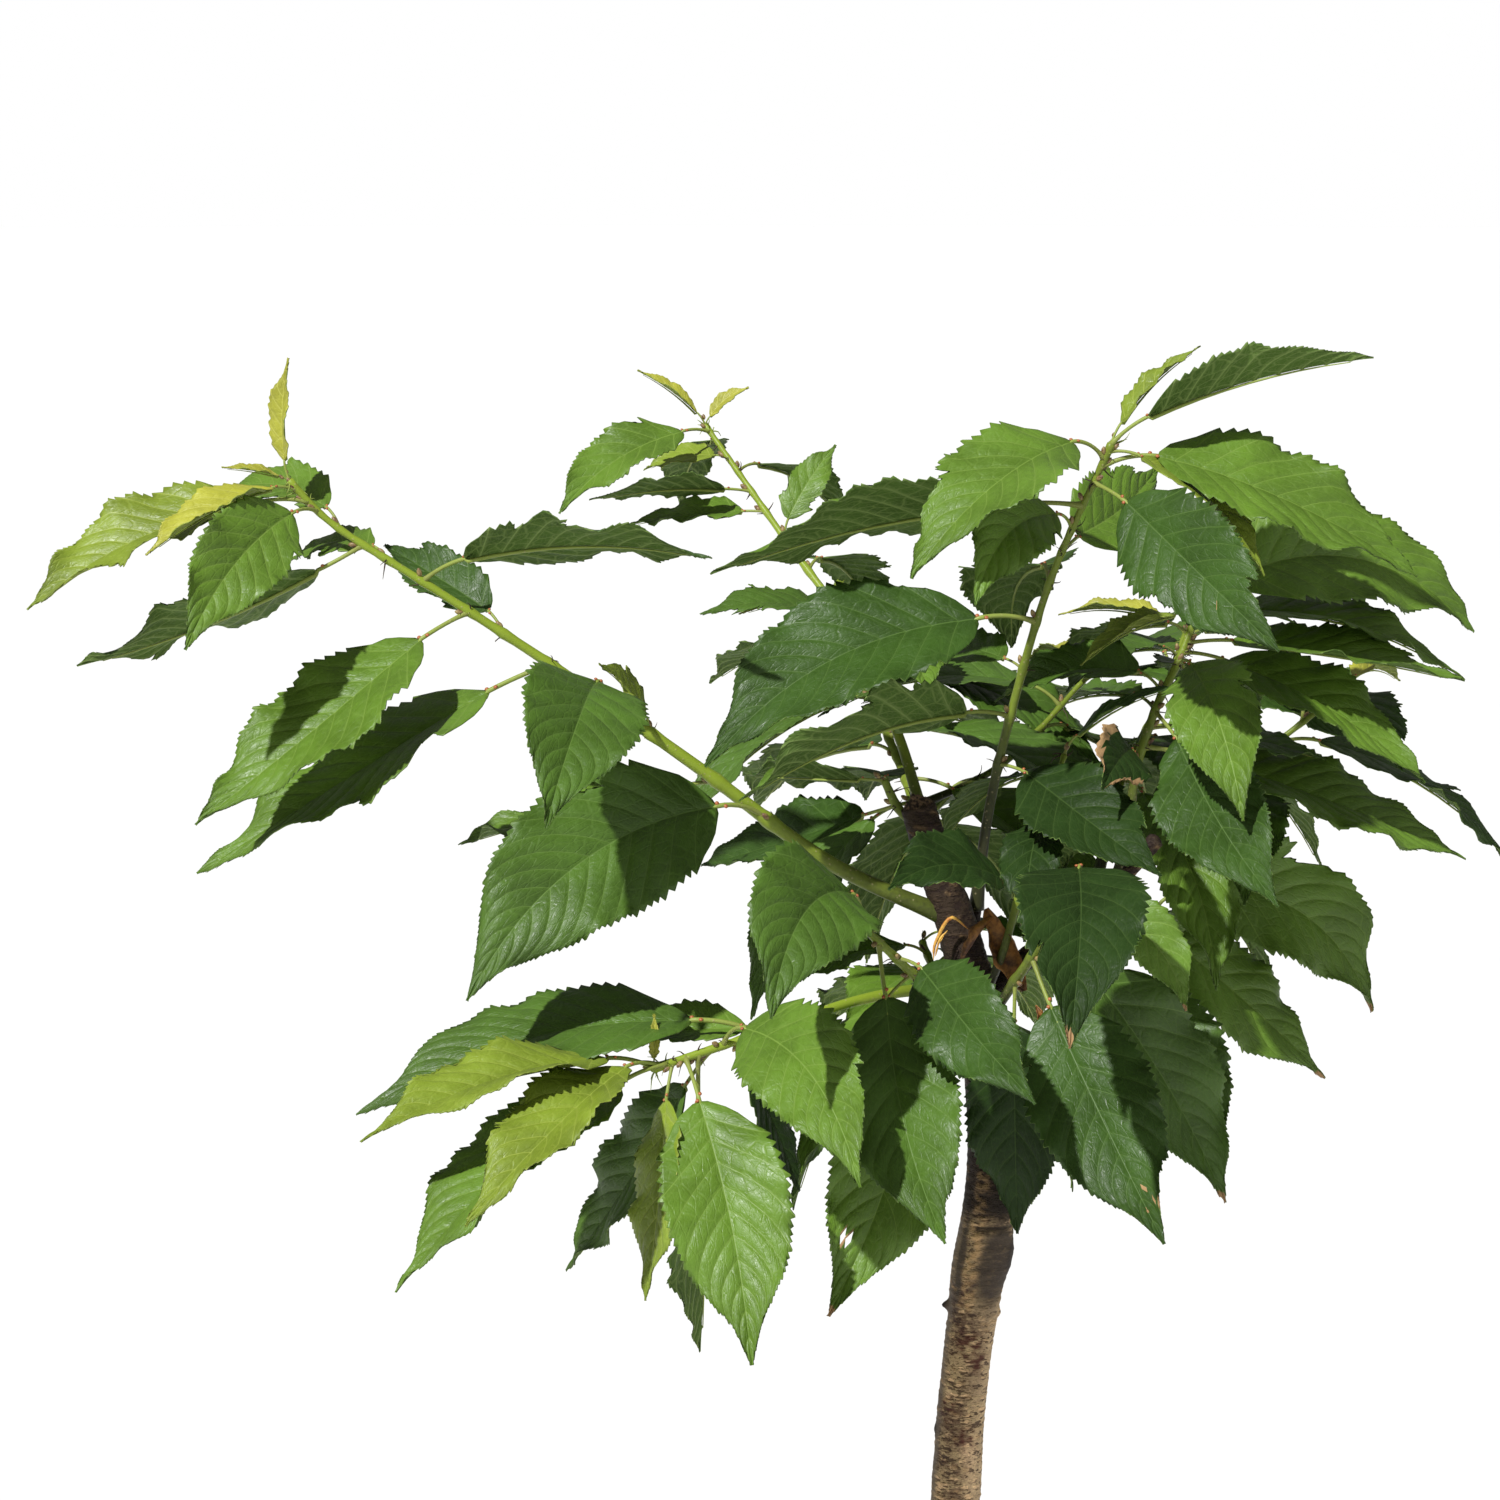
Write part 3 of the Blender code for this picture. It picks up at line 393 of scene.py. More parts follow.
# A leaf row: compass, pitch of the stalk, pitch of the tip, length of the blade, and its roll.
shoots = {
    "foliage_left": {
        "path": [
            (0.005, 0.000, 0.929), (-0.058, -0.012, 0.960), (-0.122, -0.025, 1.009),
            (-0.186, -0.035, 1.056), (-0.249, -0.045, 1.099), (-0.299, -0.050, 1.132),
            (-0.320, -0.055, 1.154),
        ],
        "thickness": (0.0042, 0.0014), "bare": 0.27, "crowding": 2.0, "young": 0.30,
        "leaves": [
            (-145, 42, -53, 0.171, -54), (154, -8, -20, 0.128, -19), (-127, 83, 24, 0.048, -57),
            (-100, 59, -53, 0.134, -23), (-168, -18, -35, 0.167, -16), (142, 59, 10, 0.075, -33),
            (-152, -20, -40, 0.144, -20), (-20, 41, -11, 0.129, -27), (140, 54, -32, 0.060, -26),
            (178, -33, -18, 0.128, 23), (138, 69, -19, 0.073, -28), (-121, 21, -53, 0.104, -50),
            (-165, 13, -36, 0.123, -23), (-144, 14, -51, 0.076, -4), (-159, 38, 0, 0.029, -16),
            (0, 113, 78, 0.050, 43),
        ],
    },
    "foliage_back_left": {
        "path": [
            (-0.009, 0.000, 0.972), (-0.014, 0.020, 0.992), (-0.024, 0.040, 1.022),
            (-0.046, 0.075, 1.067), (-0.077, 0.105, 1.108), (-0.121, 0.140, 1.168),
        ],
        "thickness": (0.0030, 0.0012), "bare": 0.46, "crowding": 1.9, "young": 0.30,
        "leaves": [
            (-156, 65, -17, 0.077, -18), (93, 16, -4, 0.037, -30), (70, 35, -45, 0.100, None),
            (42, 91, 33, 0.051, 39), (163, 4, -12, 0.065, -19), (-170, 12, -9, 0.072, 26),
            (50, 30, -45, 0.085, None), (157, 22, -24, 0.042, -27), (105, 25, -50, 0.080, None),
            (-146, 19, -43, 0.087, -27), (0, 77, 23, 0.026, 42), (180, 69, 24, 0.039, -14),
        ],
    },
    "foliage_centre": {
        "path": [
            (0.0168, 0.0144, 0.932), (0.022, 0.009, 0.979), (0.032, 0.000, 1.030),
            (0.051, -0.015, 1.102), (0.079, -0.030, 1.170),
        ],
        "thickness": (0.0028, 0.0014), "bare": 0.30, "crowding": 2.2, "young": 0.20,
        "leaves": [
            (-60, -1, -34, 0.106, 31), (-151, 20, -27, 0.134, 36), (133, 31, -16, 0.070, -22),
            (-169, 17, -45, 0.159, -42), (95, 40, -50, 0.120, None), (60, 20, 16, 0.098, 51),
            (-124, 57, -54, 0.089, -50), (-179, 9, -20, 0.156, 26), (-55, -11, -35, 0.129, 56),
            (-2, 30, -43, 0.143, 36), (-141, 52, -58, 0.124, -19), (-11, 12, -62, 0.085, 17),
            (-10, 49, 4, 0.113, -19), (22, 75, 29, 0.057, 1),
        ],
    },
    "foliage_middle": {
        "path": [
            (0.018, 0.000, 0.884), (0.028, -0.019, 0.914), (0.036, -0.020, 0.943),
            (0.048, -0.012, 0.979), (0.060, 0.004, 1.012),
        ],
        "thickness": (0.0024, 0.0013), "bare": 0.45, "crowding": 1.2, "young": 0.0,
        "leaves": [
            (-136, 72, -20, 0.084, -39), (60, 30, -45, 0.090, None), (-100, 20, -60, 0.070, None),
            (150, 40, -40, 0.090, None), (-10, 75, 10, 0.060, None),
        ],
    },
    "foliage_right": {
        "path": [
            (0.088, 0.005, 0.949), (0.093, 0.005, 0.975), (0.096, 0.004, 1.005),
            (0.106, 0.006, 1.036), (0.116, 0.010, 1.056), (0.126, 0.015, 1.080),
        ],
        "thickness": (0.0028, 0.0014), "bare": 0.42, "crowding": 1.6, "young": 0.10,
        "leaves": [
            (-115, 59, -36, 0.073, -49), (5, -5, -27, 0.148, 22), (24, 4, -25, 0.083, 22),
            (-65, -22, -40, 0.120, 40), (-155, 52, -50, 0.090, -25), (70, 30, -45, 0.120, None),
            (-75, 34, -68, 0.104, 27), (-13, 1, -41, 0.116, 24), (-9, 12, -16, 0.117, 11),
            (120, 30, -40, 0.100, None), (5, 36, -35, 0.124, 12), (22, 74, -42, 0.152, 51),
            (-163, 29, -44, 0.057, -9),
        ],
    },
    "foliage_stub": {
        "path": [(-0.010, 0.000, 0.974), (-0.022, 0.008, 0.983), (-0.030, 0.010, 0.998)],
        "thickness": (0.0022, 0.0016), "bare": 0.60, "crowding": 1.0, "young": 0.0,
        "leaves": [
            (149, -18, -20, 0.102, -29), (80, 35, -45, 0.085, None), (139, -1, -5, 0.078, 31),
        ],
    },
    "foliage_low_left": {
        "path": [
            (0.0175, 0.000, 0.887), (-0.008, -0.020, 0.897), (-0.046, -0.050, 0.897),
            (-0.093, -0.075, 0.886), (-0.144, -0.090, 0.872),
        ],
        "thickness": (0.0035, 0.0014), "bare": 0.66, "crowding": 1.8, "young": 0.35,
        "leaves": [
            (167, 0, -12, 0.080, -22), (-176, 26, -29, 0.171, -18), (34, -74, -63, 0.073, 61),
            (-61, 59, -55, 0.129, 42), (150, -52, -57, 0.123, -54), (90, -79, -65, 0.148, -80),
            (-70, -31, -65, 0.134, 18), (-109, -54, -78, 0.097, 40), (-139, 0, -41, 0.156, 0),
            (-130, 27, -45, 0.128, -4), (-147, 19, -36, 0.138, -8), (90, 90, 70, 0.022, None),
        ],
    },
    "foliage_front_right": {
        "path": [
            (0.0195, 0.000, 0.874), (0.034, -0.030, 0.903), (0.047, -0.055, 0.930),
            (0.062, -0.080, 0.962),
        ],
        "thickness": (0.0030, 0.0018), "bare": 0.36, "crowding": 1.0, "young": 0.0,
        "leaves": [
            (-101, -73, -109, 0.113, 6), (-61, -55, -40, 0.140, 37), (-9, -37, -72, 0.136, 57),
            (-20, 38, -74, 0.072, 47), (-96, 55, -62, 0.129, -2),
        ],
    },
    "foliage_front_left": {
        "path": [
            (0.0215, 0.000, 0.862), (0.003, -0.032, 0.888), (-0.023, -0.062, 0.918),
            (-0.043, -0.088, 0.941),
        ],
        "thickness": (0.0030, 0.0018), "bare": 0.50, "crowding": 1.0, "young": 0.0,
        "leaves": [
            (-134, -69, -62, 0.140, -41), (-178, -15, -60, 0.095, None), (-60, 9, -37, 0.112, 46),
            (-75, -73, -36, 0.139, 19), (-110, 85, -53, 0.130, -39),
        ],
    },
    "foliage_low_right": {
        "path": [(0.058, 0.002, 0.922), (0.084, 0.024, 0.921), (0.108, 0.042, 0.923)],
        "thickness": (0.0026, 0.0016), "bare": 0.50, "crowding": 1.0, "young": 0.0,
        "leaves": [
            (-53, -47, -36, 0.119, 20), (60, 30, -50, 0.110, None), (11, -22, -49, 0.113, 52),
            (17, 64, -67, 0.132, 67),
        ],
    },
    "foliage_back": {
        "path": [
            (0.001, 0.000, 0.941), (-0.006, 0.050, 0.955), (-0.016, 0.110, 0.985),
            (-0.030, 0.165, 1.015), (-0.045, 0.215, 1.055),
        ],
        "thickness": (0.0034, 0.0014), "bare": 0.30, "crowding": 1.4, "young": 0.2,
        "spiral": {"count": 12, "start": 60, "length": 0.125, "seed": 11, "sideTwigs": 1},
    },
    "foliage_back_right": {
        "path": [
            (0.074, 0.004, 0.936), (0.084, 0.050, 0.955), (0.098, 0.110, 0.985),
            (0.118, 0.160, 1.010), (0.140, 0.205, 1.050),
        ],
        "thickness": (0.0034, 0.0014), "bare": 0.30, "crowding": 1.4, "young": 0.2,
        "spiral": {"count": 12, "start": 20, "length": 0.120, "seed": 14, "sideTwigs": 1},
    },
    "foliage_low_back": {
        "path": [
            (0.0205, 0.000, 0.868), (0.012, 0.035, 0.874), (0.002, 0.080, 0.880),
            (-0.006, 0.120, 0.895),
        ],
        "thickness": (0.0030, 0.0018), "bare": 0.35, "crowding": 1.0, "young": 0.0,
        "spiral": {"count": 7, "start": 200, "length": 0.120, "seed": 3, "sideTwigs": 0},
    },
}

growth = {
    "light": (-0.30, -0.70, 0.65), "turn": 144, "turnSpread": (-14, 14), "riseAtFoot": 5, "riseGain": 45,
    "riseSpread": (-12, 12), "droop": (60, 95), "lengthSpread": (0.85, 1.1), "shorterFrom": 0.6,
    "shorterBy": 0.55, "stemPlaces": 60, "twigPlaces": 30, "stalkShare": 0.20, "stalkBend": 0.50,
    "stalkHalf": 0.0013, "tipHalf": 0.0007, "broad": 0.225, "narrow": 0.15, "twigSides": 4,
    "lightTurn": 0.15, "lean": (-0.12, 0.12), "fold": (0.12, 0.30), "youngFold": 0.35,
    "widthSpread": (0.94, 1.08), "clearance": 0.0042, "trialStalkSteps": 2, "trialBladeSteps": 6,
}
sideTwig = {"first": 0.38, "next": 0.2, "angle": 62, "reach": 0.52, "climb": 0.28, "lift": 0.2,
            "thickness": 0.6, "bare": 0.3, "startTurn": 50}
nudges = (  # turns of the compass angle and the pitch that a leaf tries before it is left out
    (0, 0), (8, 4), (-8, 4), (0, 12), (0, -12), (16, 8), (-16, 8), (24, -12), (-24, -12),
    (34, 14), (-34, 14), (46, 0), (-46, 0), (60, 10), (-60, 10),
)


def smoothLine(points, count):
    given = np.array(points, float)
    ends = np.vstack([2 * given[0] - given[1], given, 2 * given[-1] - given[-2]])
    places = []
    for a, b, c, d in zip(ends, ends[1:], ends[2:], ends[3:]):
        for t in np.arange(0, 1, 0.05):
            places.append(0.5 * (2 * b + (c - a) * t + (2 * a - 5 * b + 4 * c - d) * t**2
                                 + (3 * b - a - 3 * c + d) * t**3))
    places = np.array(places + [given[-1]])
    run = np.concatenate([[0], np.cumsum(np.linalg.norm(np.diff(places, axis=0), axis=1))])
    even = np.linspace(0, run[-1], count)
    return np.stack([np.interp(even, run, places[:, axis]) for axis in range(3)], axis=1)


def spiralRows(rule, dice, count):
    rows = []
    for number in range(count):
        share = (number + 0.5) / count
        late = max(0, share - growth["shorterFrom"]) / (1 - growth["shorterFrom"])
        compass = rule["start"] + growth["turn"] * number + dice.uniform(*growth["turnSpread"])
        length = rule["length"] * (1 - growth["shorterBy"] * late) * dice.uniform(*growth["lengthSpread"])
        rise = growth["riseAtFoot"] + growth["riseGain"] * share + dice.uniform(*growth["riseSpread"])
        rows.append((compass, rise, rise - dice.uniform(*growth["droop"]), length, None))
    return rows


def sideLine(stem, number):
    root = stem[int((len(stem) - 1) * (sideTwig["first"] + sideTwig["next"] * number))]
    ahead = stem[-1] - stem[0]
    side = -1 if number % 2 == 0 else 1
    bearing = math.atan2(ahead[1], ahead[0]) + side * math.radians(sideTwig["angle"])
    reach = sideTwig["reach"] * float(np.linalg.norm(ahead))
    out = np.array([math.cos(bearing), math.sin(bearing), sideTwig["climb"]])
    tip = root + reach * out + np.array([0, 0, sideTwig["lift"] * reach])
    return smoothLine([root, root + reach / 2 * out, tip], growth["twigPlaces"])


def twigsOf(shoot):
    line = smoothLine(shoot["path"], growth["stemPlaces"])
    if "leaves" in shoot:
        return [(line, shoot["thickness"], shoot["leaves"], shoot["bare"])]
    rule = shoot["spiral"]
    dice = random.Random(rule["seed"])
    twigs = [(line, shoot["thickness"], spiralRows(rule, dice, rule["count"]), shoot["bare"])]
    thick, thin = shoot["thickness"]
    for number in range(rule["sideTwigs"]):
        turned = dict(rule, start=rule["start"] + sideTwig["startTurn"])
        rows = spiralRows(turned, dice, rule["count"] // 2)
        radii = (sideTwig["thickness"] * thick, thin)
        twigs.append((sideLine(line, number), radii, rows, sideTwig["bare"]))
    return twigs


def leafAxes(leaf, pitch):
    compass = math.radians(leaf["compass"])
    along = np.stack([math.cos(compass) * np.cos(pitch), math.sin(compass) * np.cos(pitch),
                      np.sin(pitch)], axis=-1)
    side = np.broadcast_to(np.array([math.sin(compass), -math.cos(compass), 0.0]), along.shape)
    return along, side, np.cross(side, along)


def bentRun(start, end, length, share):  # how far out and up an arc reaches, and its pitch there
    bend = end - start
    pitch = start + bend * share
    return length * (np.sin(pitch) - math.sin(start)) / bend, length * (math.cos(start) - np.cos(pitch)) / bend, pitch


def leafMiddle(leaf, share):  # the stalk is one arc and the blade another
    rise, fall = math.radians(leaf["rise"]), math.radians(leaf["fall"])
    knee = rise + (fall - rise) * growth["stalkBend"]
    stalk = growth["stalkShare"] / (1 + growth["stalkShare"])
    out, up, pitch = bentRun(rise, knee, leaf["length"] * growth["stalkShare"], np.minimum(1, share / stalk))
    further, higher, bladePitch = bentRun(knee, fall, leaf["length"], np.maximum(0, share - stalk) / (1 - stalk))
    out, up = out + further, up + higher
    compass = math.radians(leaf["compass"])
    place = np.stack([out * math.cos(compass), out * math.sin(compass), up], axis=-1)
    return leaf["root"] + place, np.where(share > stalk, bladePitch, pitch)


def bladeHalfWidth(share):
    return np.sin(np.pi * share**0.75) ** 0.8 * (1 - 0.35 * share**6)


def leafTurn(leaf):
    if leaf["roll"] is not None:
        return math.radians(leaf["roll"])
    _, side, face = leafAxes(leaf, np.array(math.radians(leaf["rise"] + leaf["fall"]) / 2))
    light = np.array(growth["light"])
    return growth["lightTurn"] * math.atan2(light @ side, light @ face) + leaf["lean"]


def trialGrid(leaf, shares):
    turn = leafTurn(leaf)
    stalk = growth["stalkShare"] / (1 + growth["stalkShare"])
    rows = []
    for share in shares:
        middle, pitch = leafMiddle(leaf, np.array(share))
        _, side, face = leafAxes(leaf, pitch)
        edge = side * math.cos(turn) - face * math.sin(turn)
        top = face * math.cos(turn) + side * math.sin(turn)
        u = max(0, (share - stalk) / (1 - stalk))
        half = leaf["halfWidth"] * bladeHalfWidth(min(1, u)) if u > 0 else 0
        half = max(half, growth["stalkHalf"] if share < 0.6 else growth["tipHalf"])
        fold = leaf["fold"] * min(1, 4 * u)
        rows.append([middle + half * (v * math.cos(fold) * edge + abs(v) * math.sin(fold) * top)
                     for v in (-1, -0.5, 0, 0.5, 1)])
    return np.array(rows)


def gridTree(grid):
    rows, columns, _ = grid.shape
    faces = [(r * columns + c, r * columns + c + 1, (r + 1) * columns + c + 1, (r + 1) * columns + c)
             for r in range(rows - 1) for c in range(columns - 1)]
    points = [tuple(point) for point in grid.reshape(-1, 3)]
    return BVHTree.FromPolygons(points, faces), points


def meshTree(mesh):
    points = [tuple(corner.co) for corner in mesh.vertices]
    return BVHTree.FromPolygons(points, [tuple(face.vertices) for face in mesh.polygons]), points


def tooNear(first, second, clearance):
    if first[0].overlap(second[0]):
        return True
    return any(tree.find_nearest(point, clearance)[0] is not None
               for tree, points in ((first[0], second[1]), (second[0], first[1])) for point in points)


def settleLeaf(leaf, others, own):
    stalk = growth["stalkShare"] / (1 + growth["stalkShare"])
    stalkSteps, bladeSteps = growth["trialStalkSteps"], growth["trialBladeSteps"]
    shares = [stalk * k / stalkSteps for k in range(stalkSteps)]
    shares += [stalk + (1 - stalk) * k / bladeSteps for k in range(bladeSteps + 1)]
    compass, rise, fall = leaf["compass"], leaf["rise"], leaf["fall"]
    for turn, lift in nudges:
        leaf.update(compass=compass + turn, rise=rise + lift, fall=fall + lift)
        grid = trialGrid(leaf, shares)
        whole, blade = gridTree(grid[1:]), gridTree(grid[stalkSteps + 1:])
        if any(tooNear(whole, other, growth["clearance"]) for other in others):
            continue
        if any(blade[0].overlap(mine[0]) for _, mine in own):
            continue
        own.append((whole, blade))
        return leaf
    return None


def leavesOf(name, shoot, twigs, others):
    dice = random.Random(name)
    own, leaves = [], []
    for twigNumber, (line, _, rows, bare) in enumerate(twigs):
        for number, (compass, rise, fall, length, roll) in enumerate(rows):
            order = number / max(1, len(rows) - 1)
            share = bare + (1 - bare) * (1 - (1 - order) ** shoot["crowding"])
            youth = max(0, (order - 1 + shoot["young"]) / shoot["young"]) if shoot["young"] else 0
            at = int(round(share * (len(line) - 1)))
            leaf = {
                "root": line[at], "at": at, "twig": twigNumber, "row": number, "mass": name,
                "compass": compass, "rise": rise, "fall": fall, "length": length, "youth": youth,
                "roll": roll, "lean": dice.uniform(*growth["lean"]),
                "fold": dice.uniform(*growth["fold"]) + growth["youngFold"] * youth,
                "halfWidth": length * (growth["broad"] + (growth["narrow"] - growth["broad"]) * youth)
                             * dice.uniform(*growth["widthSpread"]),
            }
            if settleLeaf(leaf, others, own):
                leaves.append(leaf)
    return leaves, own


def probeTube(points, radii, sides):  # the plain tube that the source tests its leaves against
    curve = bpy.data.curves.new("probe", "CURVE")
    curve.dimensions = "3D"
    curve.bevel_depth = 1
    curve.bevel_resolution = (sides - 4) // 2
    curve.use_fill_caps = True
    spline = curve.splines.new("POLY")
    spline.points.add(len(points) - 1)
    for place, point, radius in zip(spline.points, points, radii):
        place.co = (*point, 1)
        place.radius = radius
    guide = bpy.data.objects.new("probe", curve)
    bpy.context.scene.collection.objects.link(guide)
    graph = bpy.context.evaluated_depsgraph_get()
    graph.update()
    mesh = bpy.data.meshes.new_from_object(guide.evaluated_get(graph))
    bpy.data.objects.remove(guide, do_unlink=True)
    bpy.data.curves.remove(curve)
    tree = meshTree(mesh)
    bpy.data.meshes.remove(mesh)
    return tree


def growLeaves():
    taken = [(name, meshTree(frame["nodes"][name].data)) for name in limbs]
    twigs = {name: twigsOf(shoot) for name, shoot in shoots.items()}
    for name in shoots:
        for line, (thick, thin), _, _ in twigs[name]:
            count = len(line) // 4
            places = np.linspace(0, len(line) - 1, count).round().astype(int)
            radii = np.linspace(thick, thin, count)
            taken.append((name, probeTube(line[places], radii, growth["twigSides"])))
    grown = {}
    for name, shoot in shoots.items():
        others = [tree for owner, tree in taken if owner != name]
        grown[name], own = leavesOf(name, shoot, twigs[name], others)
        taken += [(name, whole) for whole, _ in own]
    return twigs, grown


# Mesh helpers

def linesFrame(points):  # unit vectors along a line and across it, turned as little as possible
    points = np.asarray(points, float)
    ahead = np.gradient(points, axis=0)
    ahead /= np.linalg.norm(ahead, axis=1)[:, None]
    start = np.array([0.0, 0.0, 1.0]) if abs(ahead[0][2]) < 0.9 else np.array([1.0, 0.0, 0.0])
    across = [start - ahead[0] * (start @ ahead[0])]
    for direction in ahead[1:]:
        across.append(across[-1] - direction * (across[-1] @ direction))
    across = np.array([vector / np.linalg.norm(vector) for vector in across])
    return ahead, across, np.cross(ahead, across)


def addTube(shape, points, radii, sides, material=0, values=None, layer=None):
    points = np.asarray(points, float)
    ahead, across, over = linesFrame(points)
    rings = len(points)
    made = bmesh.ops.create_grid(shape, x_segments=sides, y_segments=rings - 1, size=1)["verts"]
    seam, ends = [], ([], [])
    for corner in made:
        column, row = round((corner.co.x + 1) / 2 * sides), round((corner.co.y + 1) / 2 * (rings - 1))
        angle = 2 * math.pi * (column % sides) / sides
        corner.co = points[row] + radii[row] * (math.cos(angle) * across[row] + math.sin(angle) * over[row])
        if layer is not None:
            corner[layer] = values[row]
        if column in (0, sides):
            seam.append(corner)
        if row in (0, rings - 1):
            ends[row > 0].append(corner)
    faces = {face for corner in made for face in corner.link_faces}
    for face in faces:
        face.material_index = material
    for row, ring in ((0, ends[0]), (rings - 1, ends[1])):
        tip = points[row] + ahead[row] * radii[row] * (0.5 if row else -0.5)
        cap = bmesh.ops.contextual_create(shape, geom=list({edge for corner in ring for edge in corner.link_edges
                                                            if edge.other_vert(corner) in ring}))["faces"]
        middle = bmesh.ops.poke(shape, faces=cap)
        for corner in middle["verts"]:
            corner.co = tip
            if layer is not None:
                corner[layer] = values[row]
        for face in middle["faces"]:
            face.material_index = material
    bmesh.ops.remove_doubles(shape, verts=[corner for corner in seam if corner.is_valid], dist=1e-7)


def finishPiece(name, shape, materials, recalculate=True, sharp=None):
    if recalculate:
        bmesh.ops.recalc_face_normals(shape, faces=shape.faces)
    mesh = bpy.data.meshes.new(name)
    shape.to_mesh(mesh)
    shape.free()
    used = sorted({face.material_index for face in mesh.polygons})
    places = {old: new for new, old in enumerate(used)}
    index = np.empty(len(mesh.polygons), np.int32)
    mesh.polygons.foreach_get("material_index", index)
    mesh.polygons.foreach_set("material_index", np.vectorize(places.get)(index).astype(np.int32))
    for number in used:
        mesh.materials.append(materials[number])
    mesh.shade_smooth()
    if sharp:
        mesh.set_sharp_from_angle(angle=math.radians(sharp))
    piece = bpy.data.objects.new(name, mesh)
    bpy.context.scene.collection.objects.link(piece)
    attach(piece, "root")
    triangles = sum(len(face.vertices) - 2 for face in mesh.polygons)
    print(f"{name}: {triangles} triangles")
    return piece


# Leaves. A blade is a grid whose rows run out along the side veins.

leafShape = {
    "fewestPairs": 6, "mostPairs": 12, "pairs": (4.6, 41), "firstVein": 0.06, "lastVein": 0.90,
    "veinWidth": 0.00045, "midribWidth": 0.0011, "grooveDepth": 0.0005, "lip": 1.3, "floor": 0.35,
    "columns": (0.16, 0.33, 0.50, 0.66, 0.81, 0.925, 1.0), "sweep": 1.22, "straight": 0.74,
    "toothDepth": 0.0014, "toothLean": 1.1, "thickness": 0.00045, "quilt": 0.00078, "veinDepth": 0.00028,
    "wave": 0.11, "youngWave": 0.01, "waves": (1.6, 3.6), "ruffle": 0.055, "ruffles": (5.0, 8.5), "twist": 0.26, "sway": 0.05,
    "dripTip": 0.42, "dripFrom": 0.66, "dripRun": 0.30,
    "biteAt": (0.12, 0.95), "biteDepth": (0.05, 0.30), "biteRun": (0.012, 0.075),
}
# Damage: centre and half size on the blade, as shares of its length and half width, and whether
# the place is a hole or only brown.
wounds = {
    ("foliage_front_left", 0): ((0.73, 0.50, 0.024, 0.11, "hole"), (0.985, 0.0, 0.02, 3.0, "brown")),
    ("foliage_front_right", 1): ((0.78, -0.30, 0.013, 0.07, "brown"), (0.84, -0.65, 0.012, 0.09, "brown"),
                                 (0.86, -0.90, 0.015, 0.12, "brown"), (0.86, 0.0, 0.010, 0.07, "brown")),
    ("foliage_front_right", 4): ((0.975, 0.5, 0.04, 1.2, "brown"),),
    ("foliage_front_right", 3): ((0.985, 0.4, 0.03, 1.5, "brown"),),
    ("foliage_front_right", 2): ((0.98, 0.6, 0.03, 1.5, "brown"),),
    ("foliage_low_right", 2): ((0.97, 0.8, 0.03, 1.0, "brown"),),
    ("foliage_low_right", 3): ((0.985, 0.5, 0.03, 1.5, "brown"),),
    ("foliage_right", 0): ((0.50, 0.9, 0.30, 0.20, "brown"), (0.75, -0.9, 0.20, 0.20, "brown")),
    ("foliage_left", 0): ((0.30, 0.35, 0.010, 0.05, "brown"),),
    ("foliage_centre", 8): ((0.42, 0.35, 0.010, 0.05, "brown"), (0.66, 0.20, 0.010, 0.05, "brown")),
}
chewed = {("foliage_left", 7): 6, ("foliage_left", 2): 4, ("foliage_left", 10): 4, ("foliage_back_left", 0): 5,
          ("foliage_back_left", 3): 4, ("foliage_back_left", 1): 3, ("foliage_centre", 8): 3,
          ("foliage_right", 4): 3, ("foliage_centre", 5): 4, ("foliage_stub", 2): 4, ("foliage_left", 4): 3}
# Tones dealt to single leaves: partly their own colour and partly painted light and shade, with darker tones on
# leaves that lie in shadow and lighter ones on leaves that light falls on.
toneAndShadeChoice = {}
for toneName, chosenRows in {
        "tip": {"left": (13, 14, 15), "back_left": (10, 11)},
        "young": {"left": (2, 12), "centre": (11, 13), "low_left": (7, 9, 10), "right": (12,), "back_left": (7,)},
        "fresh": {"left": (1, 4, 6, 8, 10, 11), "centre": (5, 6, 9, 10), "back_left": (3, 4, 9), "back": (2,),
                  "right": (1, 6, 7, 8, 10, 11), "back_right": (2,), "low_right": (2, 3), "front_right": (3,),
                  "low_back": (3, 5), "low_left": (0, 3, 6, 8), "front_left": (0,)},
        "mid": {"left": (0, 3), "centre": (2, 12), "back": (1, 4, 6, 7), "back_left": (0,), "back_right": (6,),
                "front_left": (3, 4), "front_right": (2,), "low_right": (0,), "low_left": (1, 4),
                "right": (4,)},
        "deep": {"left": (5,), "centre": (3, 8), "right": (3,), "stub": (0, 1, 2), "front_left": (2,), "front_right": (1,),
                 "middle": (1, 3, 4)},
        "shade": {"right": (0,), "centre": (0,), "middle": (0, 2), "front_right": (0, 4), "low_left": (2, 5),
                  "low_back": (4,)}}.items():
    for massName, rowNumbers in chosenRows.items():
        for rowNumber in rowNumbers:
            toneAndShadeChoice[("foliage_" + massName, rowNumber)] = toneName


